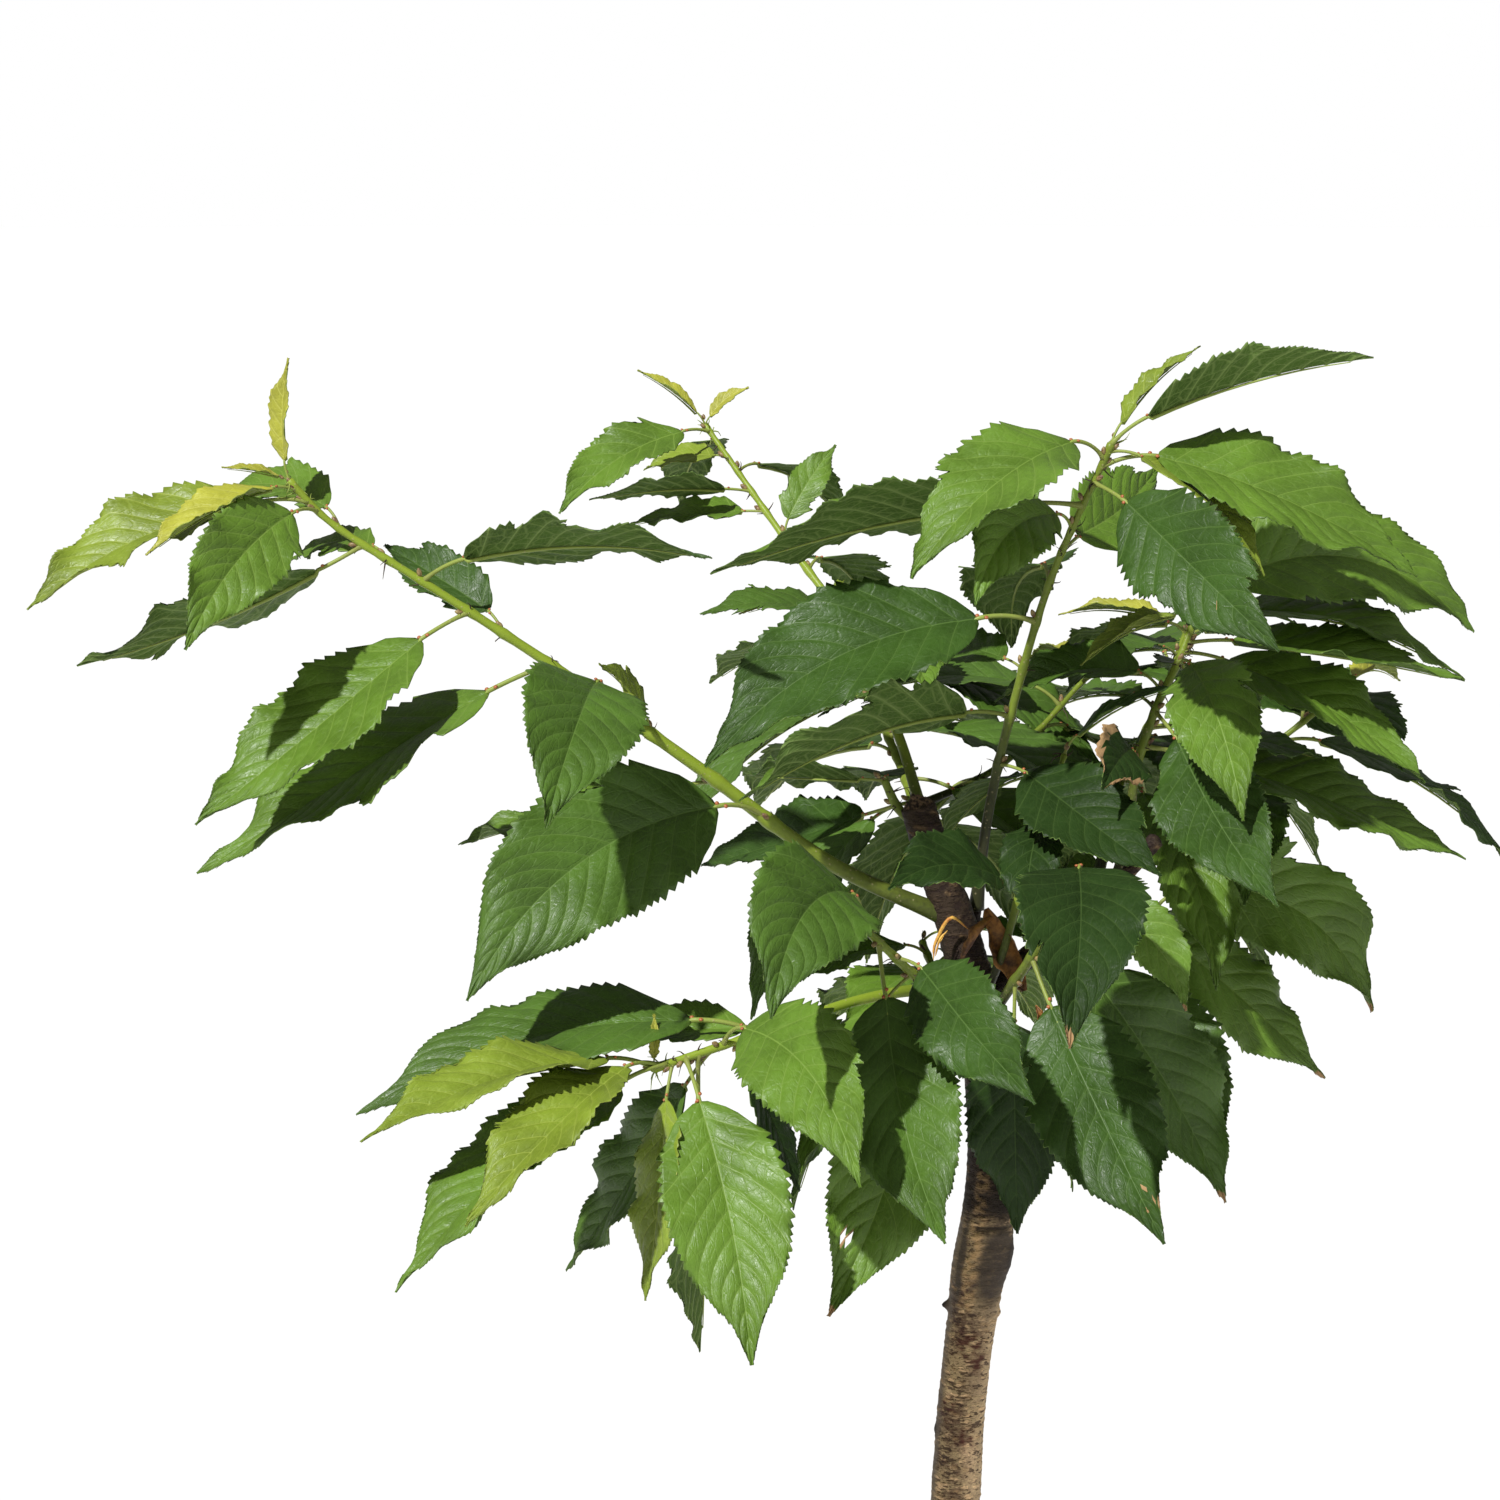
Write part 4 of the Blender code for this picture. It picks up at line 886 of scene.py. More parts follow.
# Rows of a blade: share at the midrib, whether it is on a vein, its vein number and its tooth.
def veinRows(length):
    least, perMetre = leafShape["pairs"]
    pairs = max(leafShape["fewestPairs"], min(leafShape["mostPairs"], round(least + perMetre * length)))
    between = 7 if length > 0.085 else 5 if length > 0.05 else 3
    veins = np.linspace(leafShape["firstVein"], leafShape["lastVein"], pairs)
    half = leafShape["veinWidth"] / 2 / length
    rows = [(leafShape["firstVein"] * share, False, share, -0.5) for share in (0.0, 0.12, 0.3, 0.6)]
    for number, vein in enumerate(veins):
        rows += [(vein - half, True, number + 1.0, 0.95), (vein + half, True, number + 1.0, 1.15)]
        last = number + 1 == pairs
        after = 1.0 if last else veins[number + 1]
        steps = between + 4 if last else between
        for step in range(1, steps + 1):
            share = step / (steps + (not last))
            tooth = (-0.6, 0.75)[(step + 1) % 2]
            rows.append((vein + half + (after - vein - 2 * half) * share, False, number + 1 + share, tooth))
    return rows


def bladeSurface(leaf, u, v, lift):
    stalk = growth["stalkShare"] / (1 + growth["stalkShare"])
    middle, pitch = leafMiddle(leaf, stalk + (1 - stalk) * u)
    _, side, face = leafAxes(leaf, pitch)
    turn = (leafTurn(leaf) + leaf["twist"] * (u - 0.3))[..., None]
    edge = side * np.cos(turn) - face * np.sin(turn)
    top = face * np.cos(turn) + side * np.sin(turn)
    drip = np.clip((u - leafShape["dripFrom"]) / leafShape["dripRun"], 0, 1)
    shape = bladeHalfWidth(np.clip(u, 0, 1)) * (1 - leafShape["dripTip"] * drip * drip * (3 - 2 * drip))
    half = np.maximum(leaf["halfWidth"] * shape, 0.0007)
    fold = leaf["fold"] * np.minimum(1, 4 * u)
    across = (half * v)[..., None]
    lifted = (np.abs(half * v) * np.sin(fold) + lift)[..., None]
    sway = (leaf["sway"] * leaf["length"] * np.sin(np.pi * np.clip(u, 0, 1)))[..., None]
    return middle + across * np.cos(fold)[..., None] * edge + sway * edge + lifted * top, half


def dressLeaf(leaf):
    dice = random.Random(f"{leaf['mass']} {leaf['twig']} {leaf['row']} blade")
    youth, length = leaf["youth"], leaf["length"]
    leaf["twist"] = dice.uniform(-1, 1) * leafShape["twist"]
    leaf["sway"] = dice.uniform(-1, 1) * leafShape["sway"]
    leaf["waves"] = [(dice.uniform(*leafShape["waves"]), dice.uniform(0, 2 * math.pi)) for _ in range(2)]
    leaf["waveSize"] = (leafShape["wave"] + leafShape["youngWave"] * youth) * dice.uniform(0.6, 1.3)
    leaf["ruffles"] = [(dice.uniform(*leafShape["ruffles"]), dice.uniform(0, 2 * math.pi)) for _ in range(2)]
    leaf["curl"] = dice.uniform(-0.12, 0.10)
    leaf["shade"] = dice.random()
    key = (leaf["mass"], leaf["row"]) if leaf["twig"] == 0 else None
    if youth > 0.85 or length < 0.035:
        tone = "tip"
    elif youth > 0.60 or length < 0.050:
        tone = "young"
    elif youth > 0.30:
        tone = "fresh"
    else:
        tone = dice.choices(("deep", "mid", "fresh"), (0.34, 0.48, 0.18))[0]
    leaf["tone"] = toneAndShadeChoice.get(key, tone)
    leaf["wounds"] = wounds.get(key, ())
    count = chewed.get(key, 0 if tone in ("young", "tip") else dice.choice((0, 1, 1, 2, 3)))
    leaf["bites"] = [(dice.uniform(*leafShape["biteAt"]), dice.choice((-1, 1)),
                      dice.uniform(*leafShape["biteDepth"]) * (1 + 0.25 * (count > 2)),
                      dice.uniform(*leafShape["biteRun"]) * (1 + 0.5 * (count > 2))) for _ in range(count)]


bladeSlots = [*leafTones, *(name + "Vein" for name in leafTones), "under", "underYoung", "underVein",
              "underYoungVein", "scorch"]


def addBlade(shape, leaf):
    rows = veinRows(leaf["length"])
    columns = (0.0, 0.05) + leafShape["columns"]
    sides = len(columns)  # columns on each side of the midrib, counting the floor and the lip of its groove
    rowShare, onVein, veinAt, tooth = (np.array(values) for values in zip(*rows))
    reach = np.concatenate([-np.array(columns[::-1]), columns])
    halfHere = np.maximum(leaf["halfWidth"] * bladeHalfWidth(rowShare), 0.0007)
    rib = np.minimum(leafShape["midribWidth"] / halfHere * (1 - 0.6 * rowShare), 0.11)
    v = np.repeat(reach[None, :], len(rows), axis=0)
    v[:, sides - 1], v[:, sides] = -rib * leafShape["floor"], rib * leafShape["floor"]
    v[:, sides - 2], v[:, sides + 1] = -rib * leafShape["lip"], rib * leafShape["lip"]
    sweep = leafShape["sweep"] * halfHere / leaf["length"]
    edgeU = rowShare + 0.9 * sweep
    for hand in (-1, 1):
        limit = np.ones(len(rows))
        for at, side, bite, run in leaf["bites"]:
            away = (edgeU - at) / run
            if side == hand:
                limit = np.minimum(limit, 1 - bite * np.exp(-away**4) * (1 + 0.2 * np.sin(7 * away + 9 * at)))
        limit = limit[:, None]
        v = np.where(v * hand > limit, hand * (limit + 0.03 * (np.abs(v) - limit)), v)
    span = np.abs(v)
    reachOut = leafShape["straight"] * span + (1 - leafShape["straight"]) * span**2
    u = rowShare[:, None] + sweep[:, None] * reachOut
    tooth = tooth * np.clip(rowShare * 14, 0, 1) * np.clip((1 - rowShare) * 9, 0, 1)
    depth = leafShape["toothDepth"] * min(1, leaf["length"] / 0.12)
    for column in (0, -1):
        v[:, column] *= 1 + tooth * depth / halfHere
        u[:, column] += np.where(tooth > 0, tooth, 0) * leafShape["toothLean"] * depth / leaf["length"]
    u = np.clip(u, 0, 1)
    phase = np.where(onVein, 0, veinAt - np.floor(veinAt))
    bulge = np.where(onVein, 0, np.sin(np.pi * phase) ** 0.7)[:, None]
    size = min(1, leaf["length"] / 0.13)
    fade = np.clip(span * 4, 0, 1) * (1 - 0.75 * span**4)
    lift = leafShape["quilt"] * size * bulge * fade
    lift -= leafShape["veinDepth"] * size * onVein[:, None] * np.clip(1.15 - span, 0, 1)
    lift -= leafShape["grooveDepth"] * size * (span < rib[:, None]) * (1 - 0.6 * u)
    for number, column in enumerate((slice(0, sides), slice(sides, None))):
        (count, start), (fineCount, fineStart) = leaf["waves"][number], leaf["ruffles"][number]
        far, run = span[:, column], 2 * math.pi * u[:, column]
        ripple = leaf["waveSize"] * far**1.8 * np.sin(count * run + start)
        ripple += leafShape["ruffle"] * far**4 * np.sin(fineCount * run + fineStart + np.sin(2 * run))
        lift[:, column] += ripple * halfHere[:, None]
    lift += leaf["curl"] * halfHere[:, None] * span**3
    points, _ = bladeSurface(leaf, u, v, lift)

    along = np.gradient(points, axis=0)
    across = np.gradient(points, axis=1)
    outward = np.cross(across, along)
    outward /= np.maximum(1e-12, np.linalg.norm(outward, axis=2))[..., None]
    outward[-1] = outward[-2]

    blade = bmesh.new()
    layer = blade.verts.layers.float_vector.new("place")
    normal = blade.verts.layers.float_vector.new("outward")
    made = bmesh.ops.create_grid(blade, x_segments=2 * sides - 1, y_segments=len(rows) - 1, size=1)["verts"]
    spots = {}
    for corner in made:
        column = round((corner.co.x + 1) / 2 * (2 * sides - 1))
        row = round((corner.co.y + 1) / 2 * (len(rows) - 1))
        corner.co = points[row, column]
        corner[layer] = (veinAt[row], v[row, column] * halfHere[row] / 0.011, leaf["shade"])
        corner[normal] = outward[row, column]
        spots[corner] = (row, column)
    tone = list(leafTones).index(leaf["tone"])
    doomed = []
    for face in blade.faces:
        places = [spots[corner] for corner in face.verts]
        row, column = min(place[0] for place in places), min(place[1] for place in places)
        strip = onVein[row] and onVein[row + 1] and veinAt[row] == veinAt[row + 1]
        middleStrip = column == sides - 1
        face.material_index = tone + len(leafTones) if strip or middleStrip else tone
        centreU = float(np.mean([u[place] for place in places]))
        centreV = float(np.mean([v[place] for place in places]))
        for woundU, woundV, sizeU, sizeV, kind in leaf["wounds"]:
            off = math.hypot((centreU - woundU) / sizeU, (centreV - woundV) / sizeV)
            off *= 1 + 0.22 * math.sin(7 * math.atan2(centreV - woundV, centreU - woundU) + 31 * woundU)
            if off < 1 and kind == "hole":
                doomed.append(face)
                break
            if off < (1.30 if kind == "hole" else 1):
                face.material_index = bladeSlots.index("scorch")
    if doomed:
        bmesh.ops.delete(blade, geom=doomed, context="FACES")
    upper = set(blade.faces)
    lower = bmesh.ops.extrude_face_region(blade, geom=blade.faces[:], use_keep_orig=True)["geom"]
    for corner in lower:
        if isinstance(corner, bmesh.types.BMVert):
            corner.co -= Vector(corner[normal]) * leafShape["thickness"]
    blade.verts.layers.float_vector.remove(normal)
    under = bladeSlots.index("underYoung" if leaf["tone"] in ("young", "tip") else "under")
    for face in blade.faces:
        if face in upper:
            continue
        if face.material_index == bladeSlots.index("scorch"):
            continue
        face.material_index = under + 2 * (face.material_index >= len(leafTones))
    mesh = bpy.data.meshes.new("blade")
    blade.to_mesh(mesh)
    blade.free()
    shape.from_mesh(mesh)
    bpy.data.meshes.remove(mesh)


def makeLeaves(grown):
    materials = [leafMaterials[name] for name in bladeSlots]
    for name, leaves in grown.items():
        shape = bmesh.new()
        shape.verts.layers.float_vector.new("place")
        for leaf in leaves:
            dressLeaf(leaf)
            addBlade(shape, leaf)
        piece = finishPiece(name.replace("foliage", "leaves"), shape, materials)
        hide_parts(name)


# Stalks with their midribs and glands, and the shape of buds

stalkShape = {"root": 0.0021, "neck": 0.0010, "top": 0.0011, "ribTip": 0.00025, "ribReach": 0.90,
              "sides": 8, "rings": 9, "ribRings": 9}
glandShape = {"size": (0.0010, 0.0010, 0.0007), "out": 0.0013, "places": (0.84, 0.95)}
budShape = {"length": 0.0046, "width": 0.0014}


def stalkLine(leaf):
    stalk = growth["stalkShare"] / (1 + growth["stalkShare"])
    shares = np.linspace(0, stalk, stalkShape["rings"])
    middle, pitch = leafMiddle(leaf, shares)
    ribU = np.linspace(0.012, stalkShape["ribReach"], stalkShape["ribRings"])
    size = min(1.25, (leaf["length"] / 0.13) ** 0.6)
    ribRadii = np.linspace(stalkShape["top"], stalkShape["ribTip"], len(ribU)) * size
    depth = leafShape["thickness"] + 0.75 * ribRadii + leafShape["grooveDepth"]
    rib, _ = bladeSurface(leaf, ribU, np.zeros(len(ribU)), -depth)
    along = np.linspace(0, 1, stalkShape["rings"])
    radii = stalkShape["neck"] + (stalkShape["root"] - stalkShape["neck"]) * np.exp(-along * 9)
    radii += (stalkShape["top"] - stalkShape["neck"]) * along**3
    return middle, pitch, np.vstack([middle, rib]), np.concatenate([radii * size, ribRadii]), size


def addLump(shape, centre, axes, sizes, material, segments=8, rings=6, layer=None, value=None):
    made = bmesh.ops.create_uvsphere(shape, u_segments=segments, v_segments=rings, radius=1)["verts"]
    axes = np.array(axes)
    for corner in made:
        corner.co = np.array(centre) + (np.array(corner.co) * sizes) @ axes
        if layer is not None:
            corner[layer] = value
    for face in {face for corner in made for face in corner.link_faces}:
        face.material_index = material
    return made


def basisAlong(direction):  # rows: across, over and along a direction
    along = np.array(direction, float) / np.linalg.norm(direction)
    start = np.array([0.0, 0.0, 1.0]) if abs(along[2]) < 0.9 else np.array([1.0, 0.0, 0.0])
    across = start - along * (start @ along)
    across /= np.linalg.norm(across)
    return np.array([across, np.cross(along, across), along])


def addBud(shape, centre, direction, size, material, layer=None, value=None):
    basis = basisAlong(direction)
    made = addLump(shape, centre, basis, (budShape["width"] * size, budShape["width"] * size,
                                          budShape["length"] * size / 2), material, layer=layer, value=value)
    top = np.array(centre) + basis[2] * budShape["length"] * size / 2
    for corner in made:
        share = (np.array(corner.co) - np.array(centre)) @ basis[2] / (budShape["length"] * size / 2)
        if share > 0:
            pull = 0.45 * share**2
            corner.co = np.array(corner.co) * (1 - pull) + (top + basis[2] * 0.0006 * size) * pull


def makeStalks(grown):
    stalks, glands = bmesh.new(), bmesh.new()
    layer = stalks.verts.layers.float.new("age")
    for name, leaves in grown.items():
        for leaf in leaves:
            middle, pitch, line, radii, size = stalkLine(leaf)
            leaf["stalk"] = middle
            rings = stalkShape["rings"]
            values = np.concatenate([np.linspace(0.55, 0.15, rings), np.full(len(line) - rings, 0.05)])
            addTube(stalks, line, radii, stalkShape["sides"], values=values * (1 - 0.6 * leaf["youth"]),
                    layer=layer)
            if leaf["length"] < 0.06:
                continue
            turn = leafTurn(leaf)
            for place, hand in zip(glandShape["places"], (-1, 1)):
                at = int(round(place * (rings - 1)))
                along, side, face = leafAxes(leaf, pitch[at])
                edge = side * math.cos(turn) - face * math.sin(turn)
                top = face * math.cos(turn) + side * math.sin(turn)
                spot = middle[at] + glandShape["out"] * size * (0.75 * hand * edge + 0.55 * top)
                addLump(glands, spot, (along, edge, top), np.array(glandShape["size"]) * size, 0)
    finishPiece("leafStalks", stalks, [stemMaterials["stalk"]])
    finishPiece("stalkGlands", glands, [stemMaterials["gland"]])


# Green shoots, thicker at each leaf, with a bud above every stalk

# Painted shade: every shoot but the three sunlit ones at the left is darkened toward its old colour.
shootLook = {"sides": 12, "rings": 110, "twigRings": 60, "collar": 0.55, "collarRun": 0.012,
             "nodeSwell": 0.24, "nodeRun": 0.0035, "woodyShare": 0.42, "paintedShade": 0.5,
             "bright": ("foliage_left", "foliage_low_left", "foliage_back_left")}


def makeShoots(twigs, grown):
    stems, buds = bmesh.new(), bmesh.new()
    layer = stems.verts.layers.float.new("age")
    for name, lines in twigs.items():
        for twigNumber, (line, (thick, thin), _, _) in enumerate(lines):
            own = [leaf for leaf in grown[name] if leaf["twig"] == twigNumber]
            rings = shootLook["rings"] if twigNumber == 0 else shootLook["twigRings"]
            places = np.linspace(0, len(line) - 1, rings)
            centres = np.stack([np.interp(places, np.arange(len(line)), line[:, axis])
                                for axis in range(3)], axis=1)
            run = np.concatenate([[0], np.cumsum(np.linalg.norm(np.diff(centres, axis=0), axis=1))])
            radii = np.linspace(thick, thin, rings)
            radii *= 1 + shootLook["collar"] * np.exp(-run / shootLook["collarRun"])
            step = run[-1] / (len(line) - 1)
            for leaf in own:
                radii *= 1 + shootLook["nodeSwell"] * np.exp(-((run - leaf["at"] * step) / shootLook["nodeRun"])**2)
                out = leaf["stalk"][1] - leaf["stalk"][0]
                out /= np.linalg.norm(out)
                ahead = line[min(leaf["at"] + 1, len(line) - 1)] - line[max(leaf["at"] - 1, 0)]
                ahead /= np.linalg.norm(ahead)
                here = float(np.interp(leaf["at"] * step, run, radii))
                lean = ahead * 0.75 + out * 0.65
                lean /= np.linalg.norm(lean)
                side = out - ahead * (out @ ahead)
                side /= max(1e-6, np.linalg.norm(side))
                size = 1.0 - 0.5 * leaf["youth"]
                spot = leaf["root"] + side * here * 0.95 + ahead * 0.0030 + lean * 0.0012
                addBud(buds, spot, lean, size, 0)
            age = np.clip(1 - run / run[-1] / shootLook["woodyShare"], 0, 1) * 0.9 + 0.1 * (1 - run / run[-1])
            # painted shade on the shoots that lie in shadow
            age += 0 if name in shootLook["bright"] else shootLook["paintedShade"]
            addTube(stems, centres, radii, shootLook["sides"], values=age, layer=layer)
            addBud(buds, line[-1] + 0.001 * (line[-1] - line[-2]), line[-1] - line[-2], 0.9, 0)
    finishPiece("shoots", stems, [stemMaterials["shoot"]])
    finishPiece("buds", buds, [stemMaterials["bud"]])


def makeStipules(twigs, grown):  # fine dry threads at the nodes, and green ones near the tips
    shape = bmesh.new()
    for name, leaves in grown.items():
        for leaf in leaves:
            dice = random.Random(f"{name} {leaf['twig']} {leaf['row']} stipule")
            count = 3 if leaf["youth"] > 0.2 else dice.choice((0, 2, 3, 4))
            line = twigs[name][leaf["twig"]][0]
            ahead = line[min(leaf["at"] + 1, len(line) - 1)] - line[max(leaf["at"] - 1, 0)]
            ahead = ahead / np.linalg.norm(ahead)
            basis = basisAlong(ahead)
            for _ in range(count):
                angle = dice.uniform(0, 2 * math.pi)
                out = math.cos(angle) * basis[0] + math.sin(angle) * basis[1]
                length = dice.uniform(0.0035, 0.0085)
                start = leaf["root"] + out * 0.0015
                bend = out * dice.uniform(0.4, 1.0) + ahead * dice.uniform(-0.5, 0.9)
                tip = start + length * bend + np.array([0, 0, dice.uniform(-0.003, 0.002)])
                middle = (start + tip) / 2 + length * 0.2 * basis[dice.choice((0, 1))]
                places = smoothLine([start, middle, tip], 5)
                addTube(shape, places, np.linspace(0.00045, 0.00012, 5), 4,
                        material=int(leaf["youth"] > 0.2))
    finishPiece("stipules", shape, [stemMaterials["dry"], stemMaterials["stalk"]])


# Dead leaves and dry scales caught among the boughs

dryBits = [  # line, half width, how far it is rolled up in radians, and material
    {"line": ((0.0205, -0.0135, 0.9370), (0.0300, -0.0160, 0.9190), (0.0400, -0.0170, 0.8960)),
     "half": 0.0095, "roll": 1.5, "kind": 0},
    {"line": ((0.0240, -0.0150, 0.9330), (0.0160, -0.0220, 0.9260), (0.0080, -0.0200, 0.9120)),
     "half": 0.0055, "roll": 2.2, "kind": 0},
    {"line": ((0.0120, -0.0180, 0.9270), (0.0025, -0.0210, 0.9335), (-0.0050, -0.0200, 0.9210),
              (-0.0060, -0.0190, 0.9120)), "half": 0.0013, "roll": 1.4, "kind": 1},
    {"line": ((0.0010, -0.0200, 0.9270), (-0.0030, -0.0210, 0.9220), (-0.0050, -0.0200, 0.9140)),
     "half": 0.0009, "roll": 1.2, "kind": 1},
    {"line": ((-0.0230, -0.0640, 0.8850), (-0.0270, -0.0660, 0.8760), (-0.0260, -0.0660, 0.8660)),
     "half": 0.0022, "roll": 1.8, "kind": 1},
    {"line": ((0.0450, -0.0240, 0.8900), (0.0480, -0.0250, 0.8850), (0.0460, -0.0250, 0.8790)),
     "half": 0.0030, "roll": 1.8, "kind": 0},
]


def makeDryBits():
    shape = bmesh.new()
    for number, bit in enumerate(dryBits):
        line = smoothLine(bit["line"], 17)
        ahead, across, over = linesFrame(line)
        sheet = bmesh.new()
        for corner in bmesh.ops.create_grid(sheet, x_segments=8, y_segments=16, size=1)["verts"]:
            row, v = round((corner.co.y + 1) / 2 * 16), corner.co.x
            wave = noise.noise(Vector((v * 1.3, row * 0.35, number * 7)))
            half = bit["half"] * max(0.08, math.sin(math.pi * (row + 0.4) / 17) ** 0.7) * (1 + 0.35 * wave)
            turn = v * bit["roll"] * (1 + 0.4 * wave)
            place = line[row] + half / bit["roll"] * (math.sin(turn) * across[row] + (1 - math.cos(turn)) * over[row])
            corner.co = place + over[row] * wave * 0.12 * bit["half"]
        sheet.normal_update()
        lower = bmesh.ops.extrude_face_region(sheet, geom=sheet.faces[:], use_keep_orig=True)["geom"]
        for corner in lower:
            if isinstance(corner, bmesh.types.BMVert):
                corner.co -= corner.normal * 0.0004
        for face in sheet.faces:
            face.material_index = bit["kind"]
        mesh = bpy.data.meshes.new("dryBit")
        sheet.to_mesh(mesh)
        sheet.free()
        shape.from_mesh(mesh)
        bpy.data.meshes.remove(mesh)
    finishPiece("dryBits", shape, [stemMaterials["deadLeaf"], stemMaterials["dryScale"]])


# Bark: trunk and boughs as one skin, with its lenticels and scars worked into the mesh

barkLook = {"voxel": 0.00105, "smoothing": 6, "linePlaces": 140, "lenticels": {"trunk": 330,
            "bough_left": 46, "bough_right": 26}, "wrinkle": 0.00035, "grain": 0.0002,
            "lenticelHeight": 0.0006}
# Marks: limb, height, compass, half height, half width in radians, how far it stands out, and its kind
barkMarks = [
    ("trunk", 0.7570, -6, 0.0125, 0.62, 0.0030, "dark"), ("trunk", 0.7785, -8, 0.004, 0.40, 0.0010, "dark"),
    ("trunk", 0.7300, 183, 0.0022, 0.16, 0.0036, "dark"), ("trunk", 0.7265, -4, 0.0022, 0.20, 0.0015, "plain"),
    # The dark band at 0.7725 is painted shadow along a shallow groove.
    ("trunk", 0.7725, -78, 0.0014, 1.10, -0.0010, "dark"), ("trunk", 0.7690, -78, 0.0016, 1.00, 0.0006, "plain"),
    ("trunk", 0.7120, -94, 0.0068, 0.50, -0.0003, "red"), ("trunk", 0.7030, -66, 0.0050, 0.36, -0.0002, "red"),
    ("trunk", 0.6640, -74, 0.0052, 0.38, -0.0002, "red"), ("trunk", 0.6200, -110, 0.0070, 0.36, -0.0002, "red"),
    ("trunk", 0.6790, -128, 0.0050, 0.34, -0.0002, "red"), ("trunk", 0.7550, -139, 0.0180, 0.17, 0.0000, "smooth"),
    ("trunk", 0.5300, -60, 0.0050, 0.35, -0.0002, "red"), ("trunk", 0.5600, 120, 0.0060, 0.40, -0.0002, "red"),
    ("trunk", 0.4300, -95, 0.0070, 0.45, -0.0003, "red"), ("trunk", 0.7400, 130, 0.0050, 0.40, -0.0003, "red"),
    # The dark mark at 0.7850 is painted shadow under the leaves.
    ("trunk", 0.7535, -54, 0.0185, 0.70, 0.0000, "smooth"), ("trunk", 0.7850, -60, 0.0070, 0.70, 0.0000, "dark"),
    ("trunk", 0.6650, 178, 0.0035, 0.30, 0.0010, "dark"), ("trunk", 0.5000, 20, 0.0040, 0.30, 0.0012, "dark"),
]
tanStrip = {"low": 0.728, "high": 0.812, "compass": -112, "half": 0.30}
# Painted light: the right-front side of the trunk, below 0.737, is paler where the light falls on it.
paintedLightSide = {"compass": -22, "half": 1.0, "top": 0.737}


def limbPlaces(points):  # nearest limb, the nearest point on its line, angle round it and its outward direction
    lines, owners, runs, tree = [], [], [], None
    for name, limb in limbs.items():
        line = smoothLine(limb["points"], barkLook["linePlaces"])
        lines.append(line)
        owners += [name] * len(line)
    everything = np.vstack(lines)
    tree = KDTree(len(everything))
    for number, place in enumerate(everything):
        tree.insert(place, number)
    tree.balance()
    index = np.array([tree.find(point)[1] for point in points])
    centre = everything[index]
    out = points - centre
    out[:, 2] *= 0.15
    out /= np.maximum(1e-9, np.linalg.norm(out, axis=1))[:, None]
    angle = np.arctan2(out[:, 1], out[:, 0])
    return np.array(owners)[index], centre, angle, out


def angleGap(first, second):
    return (first - second + math.pi) % (2 * math.pi) - math.pi


def limbRadius(name, height):
    points, radii = limbs[name]["points"], limbs[name]["radii"]
    return float(np.interp(height, [point[2] for point in points], radii))


